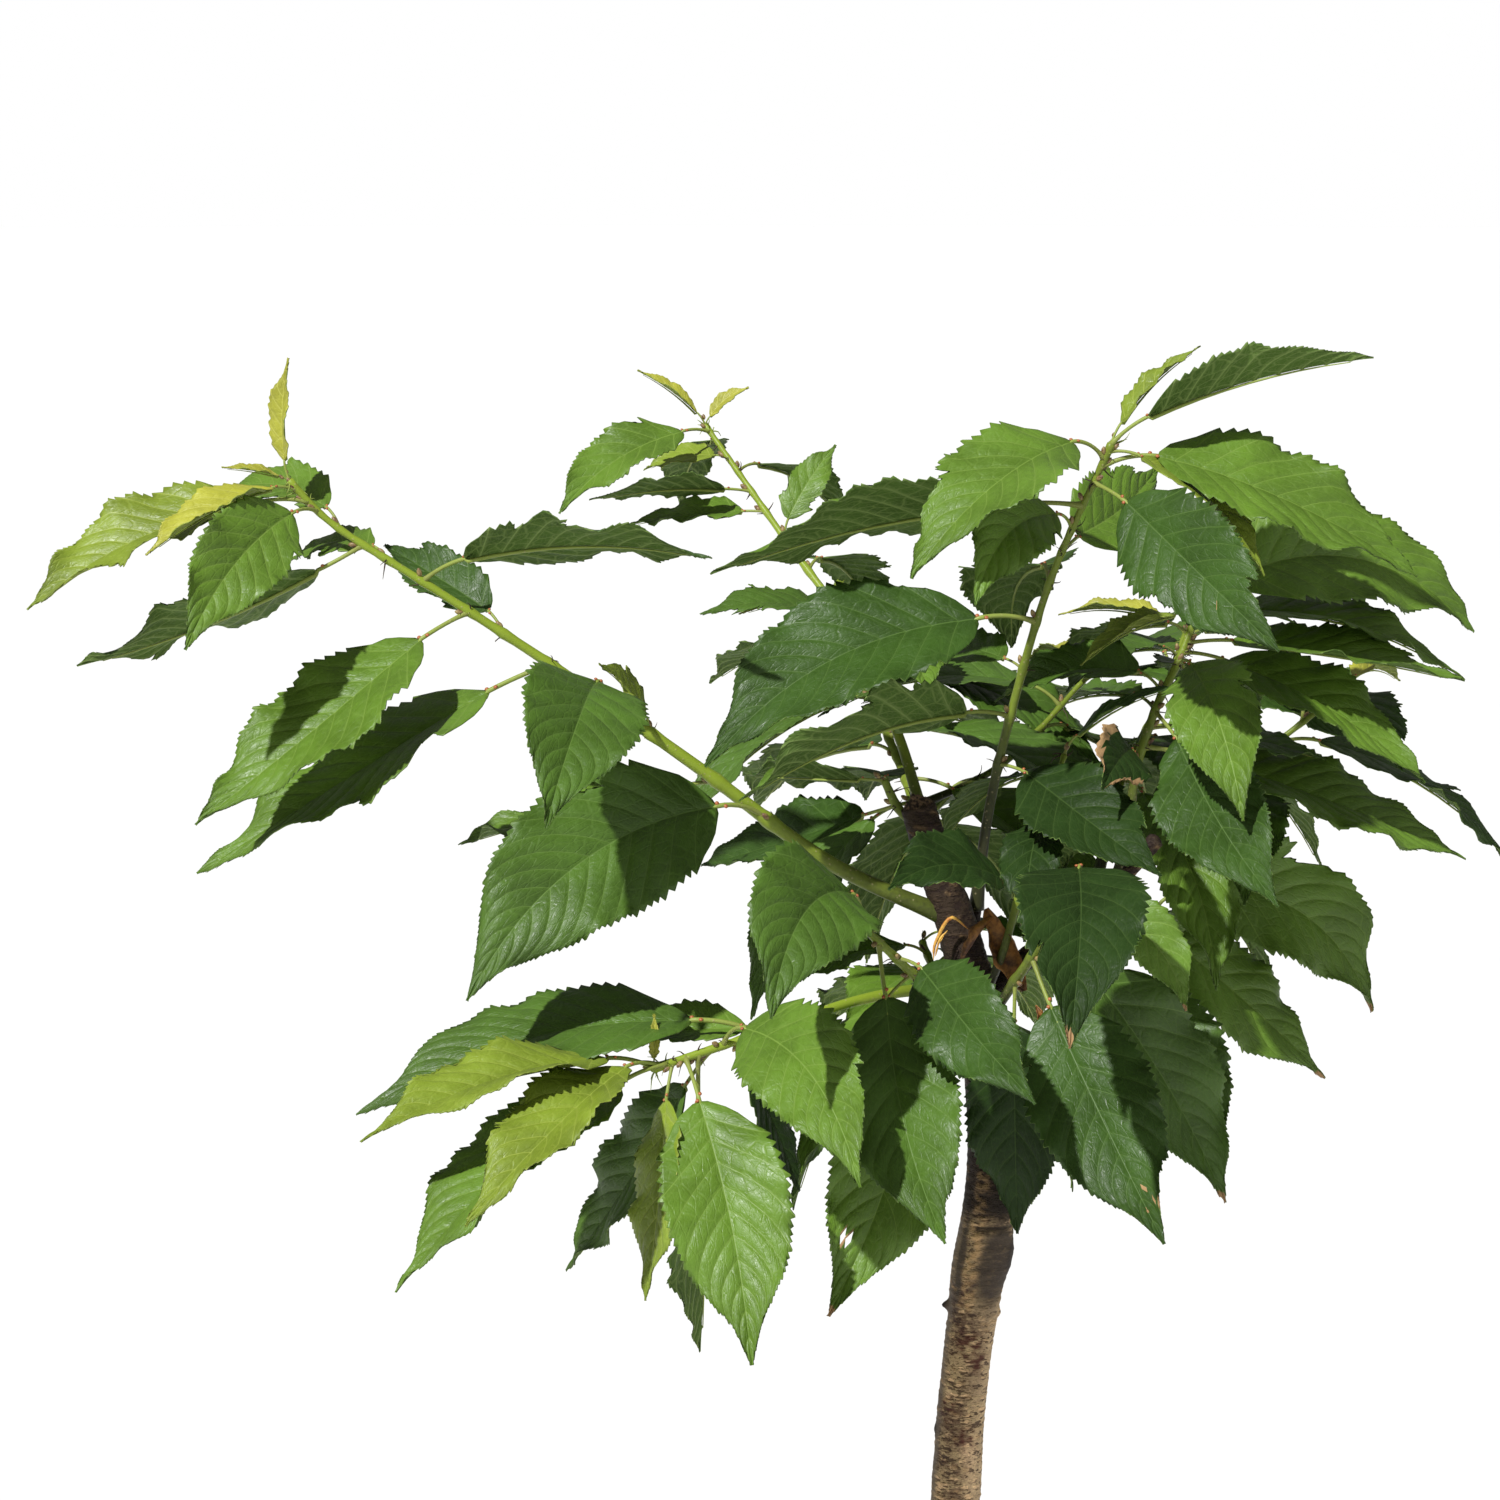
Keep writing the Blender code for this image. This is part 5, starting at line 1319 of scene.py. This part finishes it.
def makeBark():
    shape = bmesh.new()
    for name, limb in limbs.items():
        line = smoothLine(limb["points"], 48)
        given = np.array(limb["points"])
        run = np.concatenate([[0], np.cumsum(np.linalg.norm(np.diff(given, axis=0), axis=1))])
        radii = np.interp(np.linspace(0, run[-1], 48), run, limb["radii"])
        addTube(shape, line, radii, 24)
    rough = bpy.data.meshes.new("roughBark")
    bmesh.ops.recalc_face_normals(shape, faces=shape.faces)
    shape.to_mesh(rough)
    shape.free()
    guide = bpy.data.objects.new("roughBark", rough)
    bpy.context.scene.collection.objects.link(guide)
    skin = guide.modifiers.new("skin", "REMESH")
    skin.mode = "VOXEL"
    skin.voxel_size = barkLook["voxel"]
    graph = bpy.context.evaluated_depsgraph_get()
    graph.update()
    mesh = bpy.data.meshes.new_from_object(guide.evaluated_get(graph))
    bpy.data.objects.remove(guide, do_unlink=True)
    shape = bmesh.new()
    shape.from_mesh(mesh)
    bpy.data.meshes.remove(mesh)
    for _ in range(barkLook["smoothing"]):
        bmesh.ops.smooth_vert(shape, verts=shape.verts, factor=0.5, use_axis_x=True, use_axis_y=True,
                              use_axis_z=True)
    shape.verts.ensure_lookup_table()
    points = np.array([corner.co for corner in shape.verts])
    owner, centre, angle, out = limbPlaces(points)
    radius = np.linalg.norm((points - centre)[:, :2], axis=1)
    height = points[:, 2]
    raised, tan, dark, red, smooth = (np.zeros(len(points)) for _ in range(5))
    dice = random.Random(41)
    for name, count in barkLook["lenticels"].items():
        near = owner == name
        low, high = height[near].min(), height[near].max()
        for _ in range(count):
            at, compass = dice.uniform(low, high), dice.uniform(-math.pi, math.pi)
            halfWide, halfHigh = dice.uniform(0.0010, 0.0032), dice.uniform(0.00045, 0.00080)
            strength = dice.uniform(0.5, 1.0)
            if name == "trunk" and 0.737 < at < 0.771 and abs(angleGap(compass, -1.0)) < 0.75:
                continue
            close = near & (np.abs(height - at) < 0.004)
            sideways = angleGap(angle[close], compass) * limbRadius(name, at) / halfWide
            upward = (height[close] - at + 0.0004 * np.sin(3 * sideways)) / halfHigh
            spot = np.exp(-(sideways**4 + upward**2))
            tan[close] = np.maximum(tan[close], spot * strength)
            raised[close] += barkLook["lenticelHeight"] * strength * spot
            raised[close] -= 0.5 * barkLook["lenticelHeight"] * strength * np.exp(
                -((sideways * 1.3)**4 + (upward * 3.5)**2))
    for name, at, compass, halfHigh, halfWide, stands, kind in barkMarks:
        upward = (height - at) / halfHigh
        sideways = angleGap(angle, math.radians(compass)) / halfWide
        spot = np.exp(-(upward**2 + sideways**2)) * (owner == name)
        raised += stands * spot
        # dark marks: dark bark, and at 0.7725 and 0.7850 painted shadow
        if kind == "dark":
            dark = np.maximum(dark, np.clip(spot * 1.5, 0, 1))
        elif kind == "red":
            red = np.maximum(red, np.clip(spot * 1.6, 0, 1))
        elif kind == "smooth":
            smooth = np.maximum(smooth, np.clip(spot * 2.2, 0, 1))
            dark = np.maximum(dark, 0.72 * smooth)
    inStrip = np.exp(-(angleGap(angle, math.radians(tanStrip["compass"])) / tanStrip["half"])**4)
    inStrip *= np.clip((height - tanStrip["low"]) / 0.004, 0, 1) * np.clip((tanStrip["high"] - height) / 0.004, 0, 1)
    inStrip *= owner == "trunk"
    coarse = np.array([noise.noise(Vector((p[0] * 260, p[1] * 260, p[2] * 420))) for p in points])
    bands = np.array([noise.noise(Vector((p[0] * 45, p[1] * 45, p[2] * 520))) for p in points])
    broad = np.array([noise.noise(Vector((p[0] * 60, p[1] * 60, p[2] * 40))) for p in points])
    tan = np.maximum(tan, inStrip * np.clip(0.35 + 2.2 * coarse, 0, 1))
    red *= np.clip(0.55 + 1.9 * coarse, 0, 1)
    raised += inStrip * 0.0007 * (0.5 + coarse)
    raised += barkLook["wrinkle"] * bands + barkLook["grain"] * coarse + 0.0005 * broad
    cutEnd = np.array(limbs["bough_left"]["points"][-1])
    cutAxis = cutEnd - np.array(limbs["bough_left"]["points"][-2])
    cutAxis /= np.linalg.norm(cutAxis)
    fromCut = (points - cutEnd) @ cutAxis
    across = np.linalg.norm((points - cutEnd) - fromCut[:, None] * cutAxis, axis=1)
    cut = np.clip((fromCut + 0.0012) / 0.0010, 0, 1) * (across < 0.012)
    rough = np.array([noise.noise(Vector(p) * 600) for p in points])
    moved = points + out * (raised * (1 - cut))[:, None]
    moved += (cutAxis[None, :] * ((0.0016 * rough - 0.35 * (across - 0.004)) * cut)[:, None])
    fade = np.clip((height - 0.2753) / 0.004, 0, 1)
    moved[:, 2] = np.where(fade > 0, moved[:, 2], points[:, 2])
    # Painted shade: the boughs, and the trunk from a height of 0.774 up, are darkened where the leaves shade them.
    upper = np.where(owner == "trunk", np.clip((height - 0.774) / 0.008, 0, 1), 1.0)
    # Smooth bark without lenticels, on the smooth marks and along the left edge; along the edge its grey tone is
    # partly painted sky reflection.
    plain = np.maximum(smooth, np.exp(-(angleGap(angle, math.radians(-168)) / 0.42)**4))
    # the painted shade also dims the lenticels there
    tan *= 1 - 0.55 * upper
    # painted light on the right-front side of the trunk
    pale = np.exp(-(angleGap(angle, math.radians(paintedLightSide["compass"])) / paintedLightSide["half"])**2)
    pale *= np.clip((paintedLightSide["top"] - height) / 0.004, 0, 1)
    layers = {label: shape.verts.layers.float.new(label) for label in ("tan", "dark", "red", "cut", "up", "plain", "pale")}
    for corner in shape.verts:
        number = corner.index
        corner.co = moved[number]
        corner[layers["tan"]] = tan[number]
        corner[layers["dark"]] = dark[number]
        corner[layers["red"]] = red[number]
        corner[layers["cut"]] = cut[number]
        corner[layers["up"]] = upper[number]
        corner[layers["plain"]] = plain[number]
        corner[layers["pale"]] = pale[number]
    bark = finishPiece("bark", shape, [barkMaterial()])
    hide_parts(*limbs)


def barkMaterial():
    made, tree, shader = newMaterial("barkSkin", (0.20, 0.14, 0.10), 0.72, **{"Specular IOR Level": 0.22})
    place = objectPlace(tree)
    masks = {label: addNode(tree, "ShaderNodeAttribute", attribute_name=label).outputs["Fac"]
             for label in ("tan", "dark", "red", "cut", "up", "plain", "pale")}
    patches = useGroup(tree, mottleGroup, Vector=place, Scale=42.0, Fine_Scale=420.0, Fine_Share=0.3)
    flat = addNode(tree, "ShaderNodeMapping", {"Vector": place, "Scale": (1.0, 1.0, 2.7)})
    flecks = useGroup(tree, mottleGroup, Vector=flat.outputs["Vector"], Scale=165.0, Fine_Scale=520.0,
                      Fine_Share=0.35)
    rough = addMath(tree, "SUBTRACT", 1.0, addMath(tree, "MULTIPLY", masks["plain"], 0.85))
    spots = []
    for drop in (0.0, 0.0038):  # raised spots, and the painted shadow just under each of them
        lower = addNode(tree, "ShaderNodeMapping", {"Vector": place, "Scale": (1.0, 1.0, 3.6),
                                                    "Location": (0.0, 0.0, drop)})
        cells = addNode(tree, "ShaderNodeTexVoronoi", {"Vector": lower.outputs["Vector"], "Scale": 112.0})
        grown = addMath(tree, "MULTIPLY", addMath(tree, "SUBTRACT", 0.5, flecks.outputs["Value"]), 1.6)
        near = addMath(tree, "ADD", cells.outputs["Distance"], grown)
        crowded = fadeBetween(tree, patches.outputs["Value"], 0.40, 0.52)
        spots.append(addMath(tree, "MULTIPLY", fadeBetween(tree, near, 0.38, 0.24),
                             addMath(tree, "MULTIPLY", crowded, rough)))
    paintedCreaseShadow = addMath(tree, "MAXIMUM", 0.0, addMath(tree, "SUBTRACT", spots[1], spots[0]))
    ridges = addMath(tree, "MULTIPLY", fadeBetween(tree, flecks.outputs["Value"], 0.51, 0.57), rough)
    gaps = addMath(tree, "MULTIPLY", fadeBetween(tree, flecks.outputs["Value"], 0.455, 0.41), rough)
    base = mixColours(tree, fadeBetween(tree, patches.outputs["Value"], 0.42, 0.56),
                      (0.088, 0.042, 0.024), (0.430, 0.305, 0.155))
    # painted light on the right-front side of the trunk
    base = mixColours(tree, addMath(tree, "MULTIPLY", masks["pale"], 0.70), base, (0.760, 0.550, 0.310))
    # smooth bark in grey; along the left edge partly a painted reflection
    base = mixColours(tree, addMath(tree, "MULTIPLY", masks["plain"], 0.85), base, (0.124, 0.096, 0.072))
    base = mixColours(tree, addMath(tree, "MULTIPLY", gaps, 0.85), base, (0.040, 0.020, 0.012))
    base = mixColours(tree, addMath(tree, "MULTIPLY", ridges, 0.40), base, (0.480, 0.350, 0.190))
    # painted shadow under each lenticel
    base = mixColours(tree, addMath(tree, "MULTIPLY", paintedCreaseShadow, 0.90), base, (0.050, 0.020, 0.010))
    base = mixColours(tree, addMath(tree, "MULTIPLY", spots[0], 0.85), base, (0.780, 0.520, 0.280))
    # painted shade over the boughs and the top of the trunk
    base = mixColours(tree, addMath(tree, "MULTIPLY", masks["up"], 0.95), base, (0.016, 0.008, 0.006))
    base = mixColours(tree, addMath(tree, "MULTIPLY", masks["red"], 0.90), base, (0.072, 0.014, 0.010))
    base = mixColours(tree, addMath(tree, "MULTIPLY", masks["dark"], 0.9), base, (0.026, 0.018, 0.013))
    base = mixColours(tree, addMath(tree, "MULTIPLY", masks["tan"], 0.75), base, (0.560, 0.350, 0.160))
    base = mixColours(tree, masks["cut"], base,
                      mixColours(tree, fadeBetween(tree, patches.outputs["Fine"], 0.4, 0.6),
                                 (0.035, 0.022, 0.013), (0.200, 0.125, 0.075)))
    tree.links.new(base, shader.inputs["Base Color"])
    gloss = addNode(tree, "ShaderNodeMapRange", {"Value": patches.outputs["Value"], "From Min": 0.3,
                                                 "From Max": 0.7, "To Min": 0.55, "To Max": 0.82})
    tree.links.new(gloss.outputs["Result"], shader.inputs["Roughness"])
    height = addMath(tree, "ADD", addMath(tree, "SUBTRACT", addMath(tree, "ADD", ridges, spots[0]), gaps),
                     addMath(tree, "MULTIPLY", patches.outputs["Fine"], 0.6))
    addBump(tree, shader, height, 0.8, 0.0007)
    return made


# Clay pot

potSize = {"height": 0.300, "base": 0.115, "top": 0.162, "wall": 0.009, "floor": 0.014, "rimHeight": 0.040,
           "rimStep": 0.008, "rimRound": 0.0042, "rimDraft": 0.003, "footRound": 0.003, "steps": 128,
           "turningMark": 0.00022, "drainRadius": 0.006, "drainCircle": 0.060, "drains": 4}
soilLevel = 0.275


def wallRadius(height):
    return potSize["base"] + (potSize["top"] - potSize["base"]) * height / potSize["height"]


def arc(centre, radius, start, end, count):
    angles = [math.radians(start + (end - start) * k / count) for k in range(count + 1)]
    return [(centre[0] + radius * math.cos(a), centre[1] + radius * math.sin(a)) for a in angles]


def spinProfile(shape, profile, steps):
    corners = [shape.verts.new((radius, 0, height)) for radius, height in profile]
    edges = [shape.edges.new(pair) for pair in zip(corners, corners[1:])]
    bmesh.ops.spin(shape, geom=corners + edges, axis=(0, 0, 1), cent=(0, 0, 0), angle=2 * math.pi,
                   steps=steps, use_merge=True, use_duplicate=False)
    bmesh.ops.remove_doubles(shape, verts=shape.verts, dist=1e-6)


def makePot():
    size = potSize
    rimOuter = wallRadius(size["height"]) + size["rimStep"]
    rimFoot = size["height"] - size["rimHeight"]
    innerTop = wallRadius(size["height"]) - size["wall"]
    topMiddle = size["height"] - size["rimRound"]
    innerFloor = wallRadius(size["floor"]) - size["wall"]
    profile = [(0, size["floor"]), (innerFloor * 0.5, size["floor"]), (innerFloor - 0.004, size["floor"])]
    profile += arc((innerFloor - 0.004, size["floor"] + 0.004), 0.004, 270, 360, 4)[1:]
    for step in range(1, 24):
        height = size["floor"] + 0.004 + (topMiddle - size["floor"] - 0.006) * step / 24
        profile.append((wallRadius(height) - size["wall"], height))
    profile += arc((innerTop + size["rimRound"], topMiddle), size["rimRound"], 180, 90, 6)
    profile += arc((rimOuter - size["rimRound"], topMiddle), size["rimRound"], 90, 0, 6)
    for step in range(1, 12):
        share = step / 12
        mark = size["turningMark"] * math.sin(26 * share)
        profile.append((rimOuter - size["rimDraft"] / 3 * share - abs(mark),
                        topMiddle + (rimFoot + size["rimDraft"] - topMiddle) * share))
    profile += arc((rimOuter - size["rimDraft"], rimFoot + size["rimDraft"] * 0.8), size["rimDraft"] * 0.8, 0, -90, 4)
    profile += [(wallRadius(rimFoot) + 0.0015, rimFoot + 0.0002), (wallRadius(rimFoot), rimFoot - 0.0015)]
    low = size["footRound"]
    for step in range(1, 90):
        height = rimFoot - 0.0015 + (low - rimFoot + 0.0015) * step / 90
        mark = size["turningMark"] * (math.sin(step * 1.9) + 0.6 * math.sin(step * 0.83 + 1))
        profile.append((wallRadius(height) - abs(mark), height))
    profile += arc((size["base"] - low, low), low, 0, -90, 5)
    profile += [(size["base"] * 0.6, 0), (0, 0)]
    shape = bmesh.new()
    spinProfile(shape, profile, size["steps"])
    bmesh.ops.recalc_face_normals(shape, faces=shape.faces)
    mesh = bpy.data.meshes.new("potBlank")
    shape.to_mesh(mesh)
    shape.free()
    blank = bpy.data.objects.new("potBlank", mesh)
    bpy.context.scene.collection.objects.link(blank)
    cutters = bmesh.new()
    for number in range(size["drains"]):
        angle = 2 * math.pi * (number + 0.5) / size["drains"]
        spot = Matrix.Translation((size["drainCircle"] * math.cos(angle), size["drainCircle"] * math.sin(angle), 0))
        bmesh.ops.create_cone(cutters, cap_ends=True, segments=32, radius1=size["drainRadius"],
                              radius2=size["drainRadius"], depth=4 * size["floor"], matrix=spot)
    cutterMesh = bpy.data.meshes.new("drains")
    cutters.to_mesh(cutterMesh)
    cutters.free()
    cutter = bpy.data.objects.new("drains", cutterMesh)
    bpy.context.scene.collection.objects.link(cutter)
    drain = blank.modifiers.new("drains", "BOOLEAN")
    drain.operation = "DIFFERENCE"
    drain.object = cutter
    graph = bpy.context.evaluated_depsgraph_get()
    graph.update()
    shape = bmesh.new()
    shape.from_mesh(blank.evaluated_get(graph).to_mesh())
    bpy.data.objects.remove(blank, do_unlink=True)
    bpy.data.objects.remove(cutter, do_unlink=True)
    pot = finishPiece("clayPot", shape, [clayMaterial()], sharp=40)
    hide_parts("pot")


def clayMaterial():
    made, tree, shader = newMaterial("firedClay", (0.50, 0.21, 0.11), 0.86)
    place = objectPlace(tree)
    spots = useGroup(tree, mottleGroup, Vector=place, Scale=9.0, Fine_Scale=420.0, Fine_Share=0.25)
    turned = addNode(tree, "ShaderNodeMapping", {"Vector": place, "Scale": (0.25, 0.25, 9.0)})
    lines = useGroup(tree, mottleGroup, Vector=turned.outputs["Vector"], Scale=22.0, Fine_Scale=120.0)
    tone = mixColours(tree, fadeBetween(tree, spots.outputs["Value"], 0.3, 0.7), (0.43, 0.165, 0.082),
                      (0.56, 0.255, 0.140))
    tone = mixColours(tree, addMath(tree, "MULTIPLY", fadeBetween(tree, lines.outputs["Value"], 0.5, 0.7), 0.35),
                      tone, (0.62, 0.33, 0.20))
    split = addNode(tree, "ShaderNodeSeparateXYZ", {"Vector": place})
    bloomPatch = addNode(tree, "ShaderNodeTexNoise", {"Vector": place, "Scale": 16.0, "Detail": 5.0,
                                                      "Roughness": 0.65})
    low = fadeBetween(tree, split.outputs["Z"], 0.19, 0.02)
    bloom = fadeBetween(tree, addMath(tree, "ADD", bloomPatch.outputs["Fac"], addMath(tree, "MULTIPLY", low, 0.22)),
                        0.60, 0.80)
    tone = mixColours(tree, addMath(tree, "MULTIPLY", bloom, 0.45), tone, (0.66, 0.52, 0.42))
    tree.links.new(tone, shader.inputs["Base Color"])
    pits = addNode(tree, "ShaderNodeTexVoronoi", {"Vector": place, "Scale": 260.0})
    holes = fadeBetween(tree, pits.outputs["Distance"], 0.0, 0.22)
    height = addMath(tree, "ADD", addMath(tree, "MULTIPLY", holes, 0.5), lines.outputs["Fine"])
    addBump(tree, shader, height, 0.4, 0.0006)
    return made


# Compost: a lumpy surface with crumbs, bits of bark and white grit

soilLook = {"steps": 120, "rings": 46, "lump": 0.0022, "mound": 0.005, "crumbs": 900, "chips": 150, "grit": 90,
            "gap": 0.0006}


def soilHeight(x, y):
    away = math.hypot(x, y)
    lumps = noise.noise(Vector((x * 70, y * 70, 3))) + 0.5 * noise.noise(Vector((x * 190, y * 190, 8)))
    lumps += 0.3 * noise.noise(Vector((x * 520, y * 520, 5)))
    return soilLevel - 0.002 + soilLook["lump"] * lumps + soilLook["mound"] * math.exp(-(away / 0.035)**2)


def makeSoil():
    side = wallRadius(soilLevel) - potSize["wall"] - soilLook["gap"]
    foot = wallRadius(potSize["floor"]) - potSize["wall"] - 0.006
    profile = [(side * step / soilLook["rings"], soilLevel) for step in range(soilLook["rings"] + 1)]
    profile += [(side - 0.0006, soilLevel - 0.008), (foot, potSize["floor"] + 0.001), (0, potSize["floor"] + 0.001)]
    shape = bmesh.new()
    spinProfile(shape, profile, soilLook["steps"])
    for corner in shape.verts:
        if corner.co.z > soilLevel - 0.0001:
            corner.co.z = soilHeight(corner.co.x, corner.co.y)
    soil = finishPiece("compost", shape, [soilMaterials["earth"]])
    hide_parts("soil")
    dice = random.Random(8)
    crumbs = bmesh.new()
    kinds = (("crumbs", soilLook["crumbs"], (0.0010, 0.0038), 0), ("chips", soilLook["chips"], (0.003, 0.008), 1),
             ("grit", soilLook["grit"], (0.0010, 0.0020), 2))
    for kind, count, sizes, material in kinds:
        for _ in range(count):
            compass = dice.uniform(0, 2 * math.pi)
            away = 0.019 + (side - 0.025) * math.sqrt(dice.random())
            x, y = away * math.cos(compass), away * math.sin(compass)
            size = dice.uniform(*sizes)
            flat = (1.0, 0.55, 0.22) if kind == "chips" else (1.0, dice.uniform(0.7, 1), dice.uniform(0.5, 0.9))
            turn = Matrix.Rotation(dice.uniform(0, 6.28), 4, "Z") @ Matrix.Rotation(dice.uniform(-0.5, 0.5), 4, "X")
            matrix = Matrix.Translation((x, y, soilHeight(x, y) + size * flat[2] * 0.25)) @ turn
            matrix = matrix @ Matrix.Diagonal((size * flat[0], size * flat[1], size * flat[2], 1))
            made = bmesh.ops.create_icosphere(crumbs, subdivisions=1, radius=0.75, matrix=matrix)["verts"]
            for corner in made:
                corner.co += Vector([dice.uniform(-1, 1) for _ in range(3)]) * size * 0.12
            for face in {face for corner in made for face in corner.link_faces}:
                face.material_index = material
    finishPiece("crumbs", crumbs, [soilMaterials["earth"], soilMaterials["chip"], soilMaterials["grit"]],
                sharp=30)


def makePlainMaterials():
    earth, tree, shader = newMaterial("earth", (0.045, 0.028, 0.018), 0.95)
    spots = useGroup(tree, mottleGroup, Vector=objectPlace(tree), Scale=130.0, Fine_Scale=900.0, Fine_Share=0.4)
    tree.links.new(mixColours(tree, fadeBetween(tree, spots.outputs["Value"], 0.35, 0.65), (0.022, 0.013, 0.008),
                              (0.085, 0.052, 0.032)), shader.inputs["Base Color"])
    addBump(tree, shader, spots.outputs["Value"], 0.8, 0.0015)
    chip, tree, shader = newMaterial("barkChip", (0.12, 0.065, 0.035), 0.85)
    spots = useGroup(tree, mottleGroup, Vector=objectPlace(tree), Scale=220.0, Fine_Scale=900.0)
    tree.links.new(mixColours(tree, spots.outputs["Value"], (0.06, 0.030, 0.016), (0.22, 0.125, 0.065)),
                   shader.inputs["Base Color"])
    addBump(tree, shader, spots.outputs["Fine"], 0.6, 0.0006)
    grit, tree, shader = newMaterial("whiteGrit", (0.60, 0.57, 0.50), 0.85)
    spots = useGroup(tree, mottleGroup, Vector=objectPlace(tree), Scale=500.0)
    tree.links.new(mixColours(tree, spots.outputs["Value"], (0.42, 0.38, 0.32), (0.72, 0.70, 0.64)),
                   shader.inputs["Base Color"])
    return {"earth": earth, "chip": chip, "grit": grit}


def makeStemMaterials():
    made = {
        # the shoot's old colour is its woody base, and also the painted shade of the inner shoots
        "shoot": makeStemMaterial("shootSkin", (0.210, 0.285, 0.024), (0.034, 0.036, 0.013), 0.42),
        "stalk": makeStemMaterial("stalkSkin", (0.230, 0.290, 0.055), (0.160, 0.125, 0.045), 0.45),
    }
    gland, tree, shader = newMaterial("gland", (0.36, 0.09, 0.03), 0.4)
    spots = useGroup(tree, mottleGroup, Vector=objectPlace(tree), Scale=600.0)
    tree.links.new(mixColours(tree, spots.outputs["Value"], (0.24, 0.045, 0.02), (0.46, 0.17, 0.05)),
                   shader.inputs["Base Color"])
    made["gland"] = gland
    bud, tree, shader = newMaterial("bud", (0.20, 0.12, 0.05), 0.5)
    spots = useGroup(tree, mottleGroup, Vector=objectPlace(tree), Scale=450.0)
    tree.links.new(mixColours(tree, fadeBetween(tree, spots.outputs["Value"], 0.35, 0.65), (0.10, 0.045, 0.02),
                              (0.30, 0.22, 0.08)), shader.inputs["Base Color"])
    addBump(tree, shader, spots.outputs["Fine"], 0.5, 0.0003)
    made["bud"] = bud
    dry, tree, shader = newMaterial("dryThread", (0.035, 0.022, 0.014), 0.8)
    spots = useGroup(tree, mottleGroup, Vector=objectPlace(tree), Scale=300.0)
    tree.links.new(mixColours(tree, spots.outputs["Value"], (0.015, 0.010, 0.007), (0.08, 0.045, 0.025)),
                   shader.inputs["Base Color"])
    made["dry"] = dry
    for key, low, high in (("deadLeaf", (0.070, 0.024, 0.008), (0.380, 0.165, 0.035)),
                           ("dryScale", (0.400, 0.130, 0.020), (0.680, 0.400, 0.070))):
        brown, tree, shader = newMaterial(key, high, 0.6)
        spots = useGroup(tree, mottleGroup, Vector=objectPlace(tree), Scale=110.0, Fine_Scale=500.0)
        tree.links.new(mixColours(tree, fadeBetween(tree, spots.outputs["Value"], 0.35, 0.65), low, high),
                       shader.inputs["Base Color"])
        addBump(tree, shader, spots.outputs["Fine"], 0.5, 0.0004)
        made[key] = brown
    return made


# Everything in order

makeCamera()
makeStudio()
print("studio ready")
mottleGroup, veinNetGroup = makeMottleGroup(), makeVeinNetGroup()
leafMaterials, stemMaterials, soilMaterials = makeLeafMaterials(), makeStemMaterials(), makePlainMaterials()
print("materials ready")
twigLines, grownLeaves = growLeaves()
print("leaves settled:", sum(len(leaves) for leaves in grownLeaves.values()))
makeLeaves(grownLeaves)
print("leaves made")
makeStalks(grownLeaves)
makeShoots(twigLines, grownLeaves)
makeStipules(twigLines, grownLeaves)
makeDryBits()
print("shoots made")
makeBark()
print("bark made")
makePot()
makeSoil()
print("pot and compost made")
